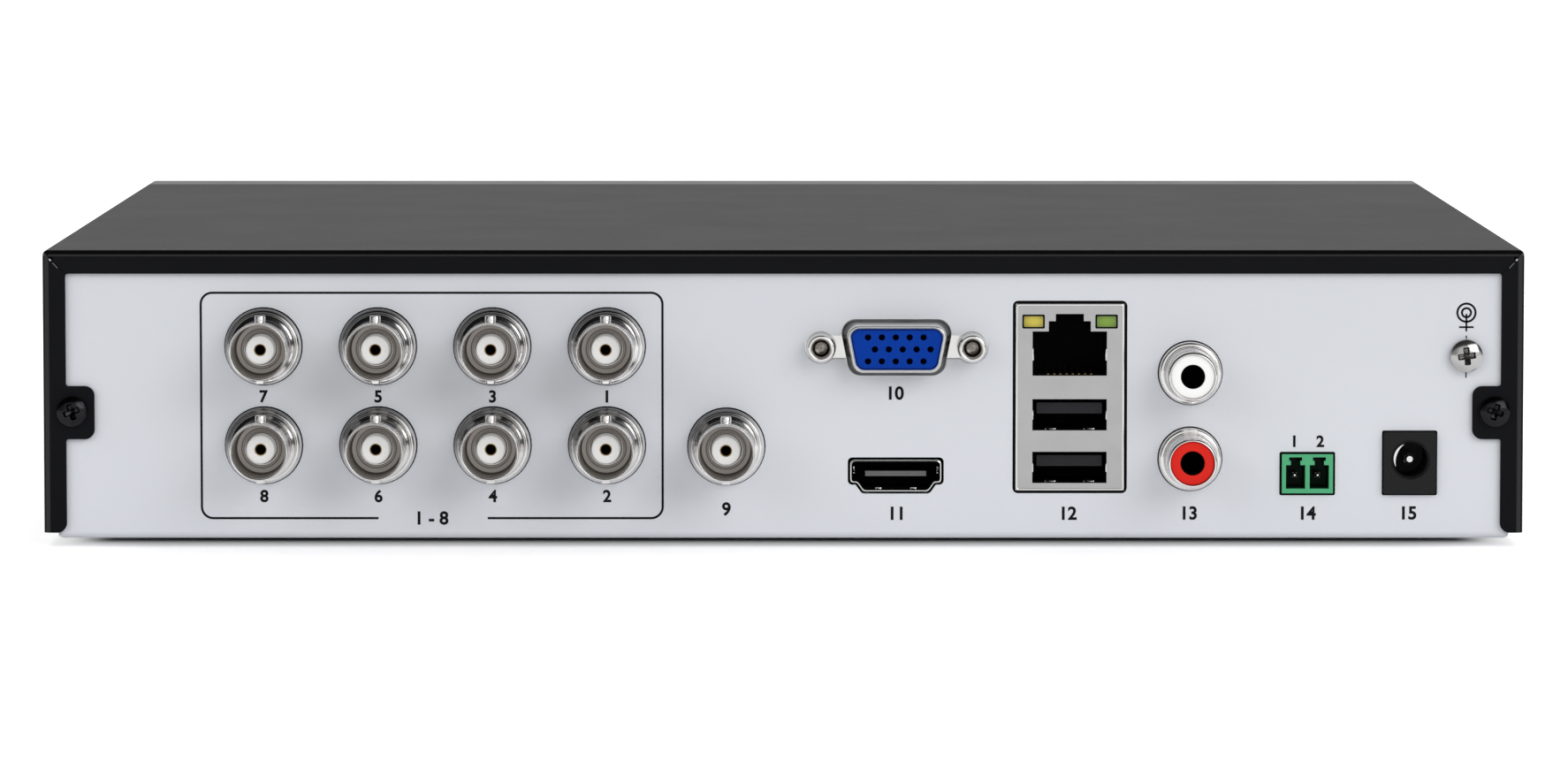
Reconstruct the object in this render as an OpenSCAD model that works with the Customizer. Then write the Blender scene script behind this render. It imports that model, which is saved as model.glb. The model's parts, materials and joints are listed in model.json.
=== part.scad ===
// Video recorder for eight cameras: a sheet steel case with its connectors in the rear panel,
// a main board, a hard drive, a fan and an indicator board behind a plastic bezel.
// Millimetres. X runs to the right as seen from the connector side, Y runs from the connectors
// to the bezel, and Z is up. The origin lies on the surface that the feet stand on, in the
// middle of the outline.

/* [Case] */
// Width over the cover
case_w = 245; // [244:0.5:256]
// Height from the underside of the pan to the top of the cover
case_h = 48; // [48:0.5:60]
// Depth from the rear flange of the cover to the face of the bezel
case_d = 215; // [214:0.5:250]
// Sheet thickness of the cover
cover_t = 0.8; // [0.6:0.1:0.9]
// Sheet thickness of the pan
pan_t = 1; // [0.8:0.1:1.2]
// Outside radius of the bends
bend_r = 1.2; // [1.1:0.1:1.6]
// Depth of the plastic bezel
bezel_d = 15; // [12:0.5:18]
// Thickness of a foot pad
foot_h = 1.5; // [1:0.5:5]
// Radius of a foot pad
foot_r = 6; // [4:0.5:9]
// Height of the flange along the top of the rear panel
flange_top = 4; // [3:0.1:4.5]
// Width of the flanges down the sides of the rear panel
flange_side = 3.8; // [3:0.1:4.2]

/* [Round connectors] */
// Distance of the outermost video socket from the middle
video_x = 86; // [80:0.5:88]
// Distance between the columns of video sockets
video_pitch = 18.93; // [18:0.01:19.5]
// Height of the lower row of video sockets above the pan's underside
video_low = 15.5; // [14:0.1:17]
// Distance between the two rows of video sockets
video_rise = 16.43; // [16:0.01:17]
// Place of the audio output socket along X
audio_x = -9.45; // [-12:0.05:-8]
// Length of a bayonet socket in front of the panel
socket_l = 13; // [12:0.1:14]
// Radius of a bayonet socket's barrel
socket_r = 4.8; // [4.75:0.01:4.85]
// Place of the two phono sockets along X
phono_x = 67.32; // [66:0.01:69]
// Height of the lower phono socket above the pan's underside
phono_low = 13.24; // [13:0.01:14]
// Distance between the two phono sockets
phono_rise = 14.28; // [14:0.01:15]
// Radius of a phono socket's barrel
phono_r = 4.15; // [4.1:0.01:4.2]

/* [Other connectors] */
// Place of the monitor socket along X
vga_x = 18.72; // [17:0.01:20]
// Height of the monitor socket above the pan's underside
vga_z = 31.76; // [31:0.01:32]
// Distance between the two jack posts
jack_pitch = 25; // [24.8:0.01:25.2]
// Place of the digital picture socket along X
hdmi_x = 18.61; // [17:0.01:20]
// Height of the digital picture socket above the pan's underside
hdmi_z = 10.45; // [10.4:0.01:10.6]
// Place of the network and data socket stack along X
stack_x = 47.41; // [46:0.01:49]
// Height of the middle of that stack above the pan's underside
stack_z = 23.5; // [23.4:0.01:23.7]
// Place of the two pole terminal header along X
header_x = 86.77; // [85:0.01:89]
// Distance between the header's two pins
header_pitch = 3.81; // [3.5:0.01:3.81]
// Place of the power socket along X
power_x = 103.7; // [102:0.1:105]
// Place of the earth screw along X
earth_x = 112.94; // [112:0.01:113]
// Height of the earth screw above the pan's underside
earth_z = 30.4; // [30:0.1:33]

/* [Inside] */
// Width of the main board
board_w = 226; // [220:1:227]
// Depth of the main board
board_d = 88; // [84:1:90]
// Length of the hard drive
drive_l = 147; // [140:0.5:147]
// Width of the hard drive
drive_w = 101.6; // [100:0.1:101.6]
// Height of the hard drive
drive_h = 26.1; // [24:0.1:30]
// Width of the fan's square frame
fan_w = 40; // [38:1:40]
// Number of fan blades
blade_count = 7; // [5:1:9]

/* [Hidden] */
$fn = 64;
slack = 0.05;
cut = 1;
corner_steps = 10;

socket_names = [for (i = [1:8]) str("bnc_shell_", i)];

// Planes of the case
rear_y = (socket_l - cover_t - case_d) / 2;
panel_y = rear_y + cover_t;
face_y = rear_y + case_d;
front_y = face_y - bezel_d;
under_z = foot_h;
deck_z = under_z + pan_t;
top_z = under_z + case_h;
pan_w = case_w - 4.4;
pan_inside = pan_w / 2 - pan_t;
pan_r = pan_t + 0.15;
cover_low = 1;
cover_gap = 0.2;
edge_x = case_w / 2;

// Tabs of the rear flange and the screws that hold them
tab_in = 8.5;
tab_w = 7;
tab_z = 20.95;
tab_h = 8.8;
tab_r = 1.6;
tab_fillet = 0.5;
relief_in = 1.5;
relief_r = 0.35;
tab_screw = [pan_w / 2 - 2.65, 21.2];
screw_r = 1.5;
screw_hole = 1.65;
head_r = 2.65;
head_h = 1.9;

// Main board and what stands on it
board_t = 1.6;
board_z = under_z + 5.4;
board_top = board_z + board_t;
board_y = panel_y + pan_t + 0.6;
block_gap = 0.2;
block_z = -pan_t - block_gap;
post_x = [-108, 0, 108];
post_y = [board_y + 30, board_y + board_d - 5];

// Hard drive, with its end that has the connectors towards the fan
drive_x = 35;
drive_y = rear_y + 94.5;
drive_z = deck_z + 2.5;
drive_wall = 2.6;
drive_lid = 1;
drive_mid = drive_y + drive_w / 2;
screw_in = 3.18;
screw_first = 41.28;
screw_step = 44.45;
spindle = [drive_x - drive_l + 51, drive_mid];
disk_r = 47.4;
disk_t = 1.3;
disk_step = 4;
disk_z = drive_z + 13;
pivot = spindle + [54, -25];
arm_l = 47;
arm_turn = 101.3;

// Fan on the bracket in the pan's side
fan_y = rear_y + 150;
fan_z = deck_z + 2 + fan_w / 2;
fan_d = 10;
fan_pitch = fan_w - 8;
fan_bore = fan_w / 2 - 1;
fan_face = pan_inside - fan_d;
bracket_w = fan_w + 8;
wall_h = 12;

// Where the indicator lead passes through the pan's front wall
lead_x = 78;
lead_z = under_z + case_h / 2 - 4;

// Connector outlines: width and height, from the edges of their openings
hdmi_hole = [15.9, 6.05];
stack_hole = [18.64, 31.67];
header_hole = [8.94, 6.96];
header_z = 10.79;
power_hole = [8.88, 10.5];
power_z = 12.56;
power_bore = [0.1, 0.55];
vga_out = [18.1, 9.1];
d_lean = 0.2;
port = [12.3, 7.35];
port_x = -0.05;
port_z = 32.24 - 25;
usb = [12.3, 5.2];
usb_z = [-2.92, -11.66];

// Place of video socket number i: odd numbers above, even numbers below, counted from the right
function socket_at(i) = [
    -video_x + video_pitch * (3 - floor((i - 1) / 2)),
    video_low + (i % 2 == 1 ? video_rise : 0)
];
audio_at = [audio_x, 15.3];
sockets = concat([for (i = [1:8]) socket_at(i)], [audio_at]);
phonos = [[phono_x, phono_low + phono_rise], [phono_x, phono_low]];

// Frames of reference: outwards from the panel at a place given as X and height above the pan's
// underside, and prisms along each axis whose flat outline reads in the other two axes
module at_panel(p) { translate([p.x, panel_y, under_z + p.y]) rotate([90, 0, 0]) children(); }
module prism_y(a, b) { translate([0, b, 0]) rotate([90, 0, 0]) linear_extrude(b - a) children(); }
module prism_x(a, b) { translate([a, 0, 0]) rotate([90, 0, 90]) linear_extrude(b - a) children(); }
module prism_z(a, b) { translate([0, 0, a]) linear_extrude(b - a) children(); }

// Box between two corners
module box(a, b) { translate(a) cube(b - a); }

// Disc or pipe between two heights
module disc(r, a, b) { translate([0, 0, a]) cylinder(r = r, h = b - a); }
module taper(r1, r2, a, b) { translate([0, 0, a]) cylinder(r1 = r1, r2 = r2, h = b - a); }

// Convex outline, counter-clockwise through the corner centres c, rounded with radius r
function unit(v) = v / norm(v);
function beside(a, b) = [unit(b - a).y, -unit(b - a).x];
function swept(c, r) = [
    for (i = [0:len(c) - 1])
        let (a = c[i], b = c[(i + 1) % len(c)], n = beside(a, b))
            each [a + r * n, b + r * n]
];
module rounded(c, r) {
    polygon(swept(c, r));
    for (p = c) translate(p) circle(r);
}
module round_rect(w, h, r) {
    x = w / 2 - r;
    y = h / 2 - r;
    rounded([[-x, -y], [x, -y], [x, y], [-x, y]], r);
}
module round_span(a, b, r) {
    translate((a + b) / 2) round_rect(b.x - a.x, b.y - a.y, r);
}
// The same with its arcs as points, for outlines whose sides slope
function turn_of(v) = atan2(v.y, v.x);
function arcs(c, r) = [
    for (i = [0:len(c) - 1])
        let (a = c[(i + len(c) - 1) % len(c)], b = c[i], d = c[(i + 1) % len(c)],
             from = turn_of(beside(a, b)), span = (turn_of(beside(b, d)) - from + 360) % 360)
            for (k = [0:corner_steps])
                let (t = from + span * k / corner_steps) b + r * [cos(t), sin(t)]
];
// Outline of a D connector, whose sides lean in towards the bottom
module d_outline(w, h, r) {
    x = w / 2 - r;
    y = h / 2 - r;
    in = 2 * y * d_lean;
    polygon(arcs([[-x + in, -y], [x - in, -y], [x, y], [-x, y]], r));
}
// What rounding with radius r takes off the corner at the origin, the material being above and right
module corner_loss(r) {
    difference() {
        translate([-0.01, -0.01]) square(r);
        translate([r, r]) circle(r);
    }
}
module slot(l, r) { round_rect(l, 2 * r, r - 0.01); }
// Centres of the arcs that round the corners v of a convex outline with radius r
function arc_centres(v, r) = [
    for (i = [0:len(v) - 1])
        let (m = beside(v[(i + len(v) - 1) % len(v)], v[i]), n = beside(v[i], v[(i + 1) % len(v)]))
            v[i] - r * (m + n) / (1 + m * n)
];

// Pan head screw with a cross recess, its head standing on z = 0 and its shaft below
module cross_screw(r, head, h, l) {
    difference() {
        union() {
            disc(head, 0, h * 0.45);
            taper(head, head * 0.62, h * 0.45, h);
            disc(r, -l, 0);
        }
        for (turn = [0, 90]) rotate(turn) box([-head * 0.5, -0.28, h - 0.9], [head * 0.5, 0.28, h + cut]);
    }
}

// Case ------------------------------------------------------------------------------------

// The solid inside the case's outline, drawn in by t, with rounded edges of radius r
module case_block(w, y0, z1, r) {
    big = 400;
    intersection() {
        prism_y(y0 - cut, big) round_span([-w / 2, -big], [w / 2, z1], r);
        prism_x(-w, w) round_span([y0, -big], [big, z1], r);
        prism_z(-cut, z1 + cut) round_span([-w / 2, y0], [w / 2, big], r);
    }
}

module side_vents() {
    for (side = [-1, 1], i = [0:8], k = [0:1])
        translate([side * edge_x, fan_y - 24 + 6 * i, fan_z - 9 + 18 * k])
            rotate([90, 0, 90]) translate([0, 0, -3]) linear_extrude(6) rotate(90) slot(14, 1.2);
}

module top_cover() {
    inner_w = case_w - 2 * cover_t;
    open_x = edge_x - flange_side;
    open_z = top_z - flange_top;
    low_z = under_z + cover_low;
    color([0.1, 0.1, 0.11]) difference() {
        union() {
            difference() {
                case_block(case_w, rear_y, top_z, bend_r);
                case_block(inner_w, panel_y, top_z - cover_t, bend_r - cover_t);
                prism_y(rear_y - cut, panel_y + cut) round_span([-open_x, -50], [open_x, open_z], 0.5);
            }
            for (side = [-1, 1])
                at_panel([side * (edge_x - tab_in + tab_w / 2), tab_z]) prism_z(0, cover_t)
                    round_rect(tab_w, tab_h, tab_r);
            // Small fillets where the tabs leave the flanges
            for (side = [0, 1], up = [0, 1])
                mirror([side, 0, 0]) at_panel([open_x + 0.02, tab_z]) mirror([0, up, 0])
                    translate([0, tab_h / 2 - 0.02, 0]) mirror([1, 0, 0])
                        prism_z(0, cover_t) corner_loss(tab_fillet);
        }
        for (side = [-1, 1])
            at_panel([side * tab_screw.x, tab_screw.y]) disc(screw_hole, -cut, cut + cover_t);
        box([-case_w, -case_d, -cut], [case_w, case_d, low_z]);
        box([-case_w, front_y - cover_gap, -cut], [case_w, 500, 100]);
        // Relief holes where the flanges meet, and the rounded lower ends of the side flanges
        for (side = [-1, 1])
            at_panel([side * (edge_x - relief_in), case_h - relief_in]) disc(relief_r, 0.1, cut + cover_t);
        for (side = [0, 1])
            mirror([side, 0, 0]) at_panel([open_x, cover_low])
                prism_z(-0.01, cut + cover_t) corner_loss(tab_r);
        side_vents();
    }
}

// Openings of the rear panel
module panel_openings() {
    through = [-pan_t - cut, cut];
    module hole(p) { at_panel(p) prism_z(through[0], through[1]) children(); }
    for (p = sockets) hole(p) circle(6.5);
    for (p = phonos) hole(p) circle(5.4);
    hole([vga_x, vga_z]) {
        d_outline(vga_out.x + 0.3, vga_out.y + 0.3, 2.45);
        slot(jack_pitch + 4.2, 1.95);
        for (side = [-1, 1]) translate([side * jack_pitch / 2, 0]) circle(2.7);
    }
    hole([hdmi_x, hdmi_z]) hdmi_outline(0);
    hole([stack_x, stack_z]) round_rect(stack_hole.x, stack_hole.y, 0.8);
    hole([header_x, header_z]) square(header_hole, center = true);
    hole([power_x, power_z]) square(power_hole, center = true);
    hole([earth_x, earth_z]) circle(screw_hole);
    for (side = [-1, 1]) hole([side * tab_screw.x, tab_screw.y]) circle(screw_hole);
}

module chassis_pan() {
    keep = pan_w / 2 - pan_t - 0.5;
    inner_rear = panel_y + pan_t + 0.5;
    inner_front = front_y - pan_t - 0.5;
    boss_r = 5.4;
    color([0.85, 0.86, 0.88]) difference() {
        union() {
            difference() {
                pan_block(0);
                pan_block(pan_t);
                // The sides are low, but for the bracket that carries the fan
                for (y = [[inner_rear, fan_y - bracket_w / 2], [fan_y + bracket_w / 2, inner_front]]) {
                    box([keep, y[0], deck_z + wall_h], [pan_w, y[1], 100]);
                }
                box([-pan_w, inner_rear, deck_z + wall_h], [-keep, inner_front, 100]);
            }
            for (p = drive_holes()) translate(p) disc(boss_r, deck_z - 0.2, drive_z);
        }
        panel_openings();
        // Each boss is a dimple from below that hides a screw head
        for (p = drive_holes()) translate(p) {
            disc(4.2, under_z - cut, drive_z - 1);
            disc(1.8, under_z, drive_z + cut);
        }
        translate([0, fan_y, fan_z]) rotate([0, 90, 0]) {
            disc(fan_bore - 0.5, pan_inside - cut, pan_w);
            fan_corners() disc(screw_r + slack, pan_inside - cut, pan_w);
        }
        // Slots for the bezel's clips, and the way through for the indicator lead
        for (p = clip_places()) translate([p.x, 0, p.y]) prism_y(front_y - pan_t - cut, front_y + cut)
            square([clip_w + 0.6, clip_h + 0.6], center = true);
        translate([lead_x, 0, lead_z]) prism_y(front_y - pan_t - cut, front_y + cut) circle(4);
    }
}

// The pan's outline drawn in by t, open at the top
module pan_block(t) {
    big = 200;
    r = max(pan_r - t, 0.2);
    w = pan_w - 2 * t;
    y0 = panel_y + t;
    y1 = front_y - t;
    z0 = under_z + t;
    intersection() {
        prism_y(y0 - cut, y1 + cut) round_span([-w / 2, z0], [w / 2, big], r);
        prism_x(-w, w) round_span([y0, z0], [y1, big], r);
        prism_z(z0 - cut, top_z - cover_t - 0.5) round_span([-w / 2, y0], [w / 2, y1], r);
    }
}

foot_x = pan_w / 2 - 24;
foot_y = [rear_y + 28, front_y - 24];
module rubber_feet() {
    color([0.08, 0.08, 0.08]) for (x = [-foot_x, foot_x], y = foot_y) translate([x, y, 0]) {
        taper(foot_r - 0.4, foot_r, 0, 0.4);
        disc(foot_r, 0.4, foot_h);
    }
}

// The tab screws go through the cover's tabs into the panel
module cover_screws() {
    color([0.07, 0.07, 0.07]) for (side = [-1, 1])
        at_panel([side * tab_screw.x, tab_screw.y]) translate([0, 0, cover_t])
            cross_screw(screw_r, head_r, head_h, 6);
}

module ground_screw() {
    color([0.8, 0.8, 0.8]) at_panel([earth_x, earth_z]) cross_screw(screw_r, 2.7, 2, 6);
}

// Bezel -----------------------------------------------------------------------------------

bezel_wall = 2;
window = [52, 20];
window_x = 78;
window_z = under_z + case_h / 2;
window_t = 1.4;
light_x = [-14, 0, 14];
light_r = 1.5;
led_board_y = face_y - 10;
clip_w = 8;
clip_h = 1.8;
clip_deep = 2.5;
clip_x = [-80, 80];
function clip_places() = [for (x = clip_x, z = [under_z + 8, top_z - 9]) [x, z]];

module front_bezel() {
    r = 2.4;
    color([0.06, 0.06, 0.065]) union() {
        difference() {
            bezel_block(0, r, front_y);
            bezel_block(bezel_wall, r - 1, front_y - cut);
            translate([window_x, 0, window_z]) prism_y(face_y - window_t - slack, face_y + cut)
                round_rect(window.x + 0.1, window.y + 0.1, 2);
            for (x = light_x) translate([window_x + x, 0, window_z])
                prism_y(face_y - bezel_wall - cut, face_y) circle(light_r + slack);
        }
        // Clips on arms that reach back through the pan's front wall
        for (p = clip_places()) {
            side = p.y > window_z ? 1 : -1;
            reach = side > 0 ? top_z - 1 : under_z + 1;
            translate([p.x, 0, p.y]) prism_y(front_y - pan_t - clip_deep, front_y + 6)
                square([clip_w, clip_h], center = true);
            box(
                [p.x - clip_w / 2, front_y + 1, min(p.y, reach)],
                [p.x + clip_w / 2, front_y + 6, max(p.y, reach)]
            );
        }
        // Posts that hold the indicator board
        for (x = [-24, 24]) translate([window_x + x, 0, window_z])
            prism_y(led_board_y, face_y - bezel_wall + 0.1) circle(2.2);
    }
}
// The bezel's outline drawn in by t: flat at the back, rounded along the face
module bezel_block(t, r, y0) {
    w = case_w / 2 - t;
    z0 = under_z + t;
    z1 = top_z - t;
    intersection() {
        prism_y(y0, face_y - t) round_span([-w, z0], [w, z1], bend_r);
        prism_x(-w - 1, w + 1) round_span([y0 - 50, z0], [face_y - t, z1], r);
        prism_z(0, 100) round_span([-w, y0 - 50], [w, face_y - t], r);
    }
}

module front_window() {
    color([0.1, 0.02, 0.03]) translate([window_x, 0, window_z]) prism_y(face_y - window_t, face_y)
        round_rect(window.x, window.y, 2);
}

module light_pipes() {
    color([0.9, 0.9, 0.92]) for (x = light_x) translate([window_x + x, 0, window_z])
        prism_y(led_board_y + 1.6, face_y - window_t - slack) circle(light_r);
}

// Indicator board with its three lamps and its lead socket
module front_led_board() {
    color([0.1, 0.35, 0.2]) union() {
        translate([window_x, 0, window_z])
            prism_y(led_board_y - 1.6, led_board_y) square([58, 16], center = true);
        for (x = light_x) translate([window_x + x, 0, window_z])
            prism_y(led_board_y - 0.1, led_board_y + 1.5) square([3.2, 2.6], center = true);
        translate([lead_x, 0, lead_z])
            prism_y(led_board_y - 4.6, led_board_y - 1.5) square([8, 4], center = true);
    }
}

// Main board --------------------------------------------------------------------------------

module board_posts(z) { for (x = post_x, y = post_y) translate([x, y, z]) children(); }

module board_standoffs() {
    color([0.75, 0.72, 0.6]) board_posts(0) difference() {
        translate([0, 0, deck_z]) cylinder(r = 3, h = board_z - deck_z, $fn = 6);
        disc(screw_r + slack, deck_z - cut, board_z + cut);
    }
}
module board_screws() {
    color([0.8, 0.8, 0.8]) board_posts(board_top) cross_screw(screw_r, 2.8, 1.8, board_top - deck_z - 0.4);
}
module main_board() {
    color([0.09, 0.32, 0.2]) difference() {
        box([-board_w / 2, board_y, board_z], [board_w / 2, board_y + board_d, board_top]);
        board_posts(0) disc(screw_hole, board_z - cut, board_top + cut);
        // Corners cut back for the screws in the panel's tabs and the earth screw
        for (side = [-1, 1]) translate([side * board_w / 2, board_y, board_z])
            cylinder(r = 4, h = 10, center = true);
    }
}

chip_y = board_y + 52;
processor_x = 14;
// Chips as [x, y, width, depth, height]: processor, memory, video receivers, network, power
chips = concat(
    [[processor_x, chip_y, 27, 27, 2]],
    [for (x = [-14, 42]) [processor_x + x - 14, chip_y + 4, 9, 13, 1.1]],
    [for (k = [0:3]) [-86 + 19 * k, chip_y - 16, 12, 12, 1.4]],
    [for (k = [0:3]) [-86 + 19 * k, chip_y + 6, 6, 8, 1.6]],
    [[47, chip_y - 14, 8, 8, 1.2], [18, chip_y - 22, 9, 7, 1.2], [85, chip_y - 6, 7, 7, 3.2]],
    [[97, chip_y - 6, 7, 7, 3.2], [74, chip_y - 8, 5, 4, 1.6], [-38, chip_y + 26, 6, 5, 1.8]]
);
module board_chips() {
    color([0.12, 0.12, 0.13]) for (c = chips)
        box(
            [c[0] - c[2] / 2, c[1] - c[3] / 2, board_top],
            [c[0] + c[2] / 2, c[1] + c[3] / 2, board_top + c[4]]
        );
}

module heat_sink() {
    side = 36;
    fins = 10;
    fin_t = 1.2;
    base = board_top + chips[0][4];
    step = (side - fin_t) / (fins - 1);
    color([0.2, 0.2, 0.22]) translate([processor_x, chip_y, base]) {
        box([-side / 2, -side / 2, 0], [side / 2, side / 2, 2]);
        for (i = [0:fins - 1]) translate([-side / 2 + i * step, 0, 0])
            box([0, -side / 2, 1], [fin_t, side / 2, 12]);
    }
}

cans = [[88, 16], [100, 12], [72, 14], [102, -16], [-102, 20], [88, 27]];
module capacitors() {
    color([0.25, 0.3, 0.4]) for (c = cans) translate([c.x, chip_y + c.y, board_top]) {
        disc(3.9, 0, 9.6);
        disc(3.5, 9.5, 10);
    }
}

cell_at = [-76, chip_y + 26];
cell_r = 10;
module battery_holder() {
    color([0.08, 0.08, 0.08]) translate([cell_at.x, cell_at.y, board_top]) difference() {
        disc(12, 0, 4.2);
        disc(cell_r + 0.2, 1, 5);
        box([-3, -14, 1.6], [3, 0, 6]);
    }
}
module coin_cell() {
    color([0.78, 0.78, 0.78]) translate([cell_at.x, cell_at.y, board_top + 1]) {
        disc(cell_r - 0.6, 0, 0.5);
        disc(cell_r, 0.4, 3.2);
    }
}

// Sockets on the board for the drive's data and power and for the fan and indicator leads
data_at = [44, board_y + board_d - 9];
supply_at = [62, board_y + board_d - 9];
fan_plug = [98, board_y + board_d - 5];
lead_plug = [lead_x, board_y + board_d - 5];
module sata_headers() {
    color([0.1, 0.1, 0.1]) union() {
        header_box(data_at, [12, 5.4, 7], [9.4, 2.6]);
        header_box(supply_at, [12.6, 6, 7], [10.6, 3.6]);
        header_box(fan_plug, [6.4, 5, 6], [4.6, 3]);
        header_box(lead_plug, [8.4, 5, 6], [6.6, 3]);
    }
}
module header_box(p, s, hollow) {
    translate([p.x, p.y, board_top]) difference() {
        box([-s.x / 2, -s.y / 2, 0], [s.x / 2, s.y / 2, s.z]);
        box([-hollow.x / 2, -hollow.y / 2, 1.6], [hollow.x / 2, hollow.y / 2, s.z + cut]);
    }
}

// Bayonet sockets ---------------------------------------------------------------------------

shell_back = -6;
base_r = 6.3;
cavity_r = 4.35;
floor_r = 4.05;
floor_z = socket_l - 7.4;
core_r = 2.375;
core_front = socket_l - 4.5;
core_hole = 1;
lug_z = socket_l - 5.1;
lug_gap = 1.1;
neck_r = socket_r - 0.2;

module bayonet_shell() {
    color([0.8, 0.79, 0.77]) difference() {
        union() {
            disc(base_r, shell_back, 1.3);
            taper(base_r, base_r - 0.5, 1.3, 1.8);
            disc(5.45, 1.7, 2.8);
            taper(5.45, neck_r, 2.8, 3.3);
            disc(neck_r, 3.2, lug_z + lug_gap);
            disc(socket_r, lug_z + lug_gap, socket_l - 0.3);
            taper(socket_r, socket_r - 0.2, socket_l - 0.3, socket_l);
            // Bayonet lugs, above and below
            for (side = [-1, 1])
                translate([0, side * 4.5, lug_z]) rotate([-90 * side, 0, 0]) disc(0.9, 0, 1.15);
        }
        disc(core_r + slack, shell_back - cut, socket_l);
        disc(floor_r, floor_z, socket_l);
        disc(cavity_r, floor_z + 0.4, socket_l + cut);
        taper(cavity_r, cavity_r + 0.2, socket_l - 0.4, socket_l + 0.01);
    }
}
module bnc_shell(p) { at_panel(p) bayonet_shell(); }

module bnc_insulators() {
    color([0.96, 0.96, 0.94]) for (p = sockets) at_panel(p) difference() {
        disc(core_r, shell_back, core_front);
        disc(core_hole, shell_back - cut, core_front + cut);
    }
}
module bnc_contacts() {
    color([0.8, 0.6, 0.25]) for (p = sockets) at_panel(p) difference() {
        disc(core_hole - slack, shell_back - 3, core_front - 0.9);
        disc(0.62, core_front - 6, core_front);
        box([-0.12, -2, core_front - 4], [0.12, 2, core_front]);
    }
}

// Plastic housings behind the panel: one for each pair of sockets and one for the single socket
module bnc_blocks() {
    w = 14.4;
    back = block_z - 14;
    module housing(x, heights) {
        top = max(heights) + 7.2;
        color([0.13, 0.13, 0.14]) difference() {
            translate([x - w / 2, panel_y - block_z, board_top])
                cube([w, block_z - back, under_z + top - board_top]);
            for (z = heights) at_panel([x, z]) {
                disc(base_r + slack, shell_back, 0);
                disc(core_hole, shell_back - 3, 0);
            }
        }
    }
    for (i = [1, 3, 5, 7]) housing(socket_at(i).x, [socket_at(i).y, socket_at(i + 1).y]);
    housing(audio_at.x, [audio_at.y]);
}

// Monitor socket ------------------------------------------------------------------------------

vga_shell_size = [16.7, 8.1];
vga_core = [14.7, 6.3];
vga_core_r = 1.3;
vga_out_z = 5.2;
vga_plate_z = [-pan_t - 0.9, -pan_t - 0.1];
module vga_riser() {
    color([0.12, 0.12, 0.13]) at_panel([vga_x, vga_z]) {
        floor_y = board_top - under_z - vga_z;
        difference() {
            union() {
                box([-15.4, -14.5, -14], [15.4, 6.2, vga_plate_z[0]]);
                box([-15.4, floor_y, -21], [15.4, 6.2, -13.9]);
            }
            for (side = [-1, 1]) translate([side * jack_pitch / 2, 0, 0]) disc(2, -9, 0);
            prism_z(-10, 0) d_outline(vga_core.x + 0.1, vga_core.y + 0.1, vga_core_r + 0.05);
        }
    }
}
module vga_shell() {
    color([0.78, 0.78, 0.77]) at_panel([vga_x, vga_z]) difference() {
        union() {
            prism_z(vga_plate_z[0], vga_plate_z[1]) round_rect(30.8, 12.4, 1);
            prism_z(vga_plate_z[1], 0.5) d_outline(vga_out.x, vga_out.y, 2.3);
            prism_z(0.5, vga_out_z) d_outline(vga_shell_size.x, vga_shell_size.y, 1.95);
        }
        prism_z(-5, 9) d_outline(vga_core.x + 0.1, vga_core.y + 0.1, vga_core_r + 0.05);
        for (side = [-1, 1]) translate([side * jack_pitch / 2, 0, 0]) disc(1.9, -4, 1);
    }
}
module vga_insulator() {
    pitch = 2.29;
    row = 1.98;
    color([0.03, 0.16, 0.62]) at_panel([vga_x, vga_z]) difference() {
        prism_z(-10, vga_out_z - 0.5) d_outline(vga_core.x, vga_core.y, vga_core_r);
        for (k = [-1:1], i = [-2:2]) translate([pitch * (i + (k == 0 ? 0.5 : 0)) - 0.2, k * row, 0])
            disc(0.53, vga_out_z - 6, vga_out_z);
    }
}
module vga_jackposts() {
    color([0.75, 0.74, 0.72]) for (side = [-1, 1])
        at_panel([vga_x + side * jack_pitch / 2, vga_z]) difference() {
        union() {
            disc(1.8, -8.5, 0);
            disc(2.5, vga_plate_z[1], 3.2);
            taper(2.5, 2.1, 3.2, 3.6);
        }
        disc(1.4, -4, 4);
        taper(1.4, 1.85, 3, 3.61);
    }
}

// Digital picture socket ------------------------------------------------------------------------

// Outline drawn in by t: a rounded oblong and below it a narrower trough with leaning sides
module hdmi_outline(t) {
    x = hdmi_hole.x / 2 - t;
    y = hdmi_hole.y / 2 - t;
    step = 1.55 - t;
    low = 5.6 - t / 2;
    high = 7.75 - 1.25 * t;
    r = 0.75 - t / 2;
    polygon(arcs(arc_centres([[-x, y], [-x, -step], [x, -step], [x, y]], r), r));
    polygon(arcs(arc_centres([[-high, 0], [-low, -y], [low, -y], [high, 0]], r), r));
}
module hdmi_shell() {
    color([0.6, 0.6, 0.6]) at_panel([hdmi_x, hdmi_z]) {
        difference() {
            prism_z(-11.5, 0.3) hdmi_outline(0.4);
            prism_z(-10.5, 1) hdmi_outline(0.65);
        }
        // Feet that stand on the board
        for (side = [-1, 1], z = [-9, -4]) box(
            [side * 5 - 0.6, board_top - under_z - hdmi_z, z - 0.6],
            [side * 5 + 0.6, -hdmi_hole.y / 2 + 0.5, z + 0.6]
        );
    }
}
module hdmi_tongue() {
    color([0.2, 0.2, 0.21]) at_panel([hdmi_x, hdmi_z]) box([-5.05, -0.2, -10.5], [5.05, 0.65, -1.4]);
}

// Network and data stack ------------------------------------------------------------------------

stack = [stack_hole.x - 0.7, stack_hole.y - 0.7];
stack_l = 21;
stack_wall = 0.35;
stack_foot = 8;
lamp = [3.55, 2.15];
lamp_at = [[-6.05, 12.55], [6.03, 12.55]];
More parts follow.
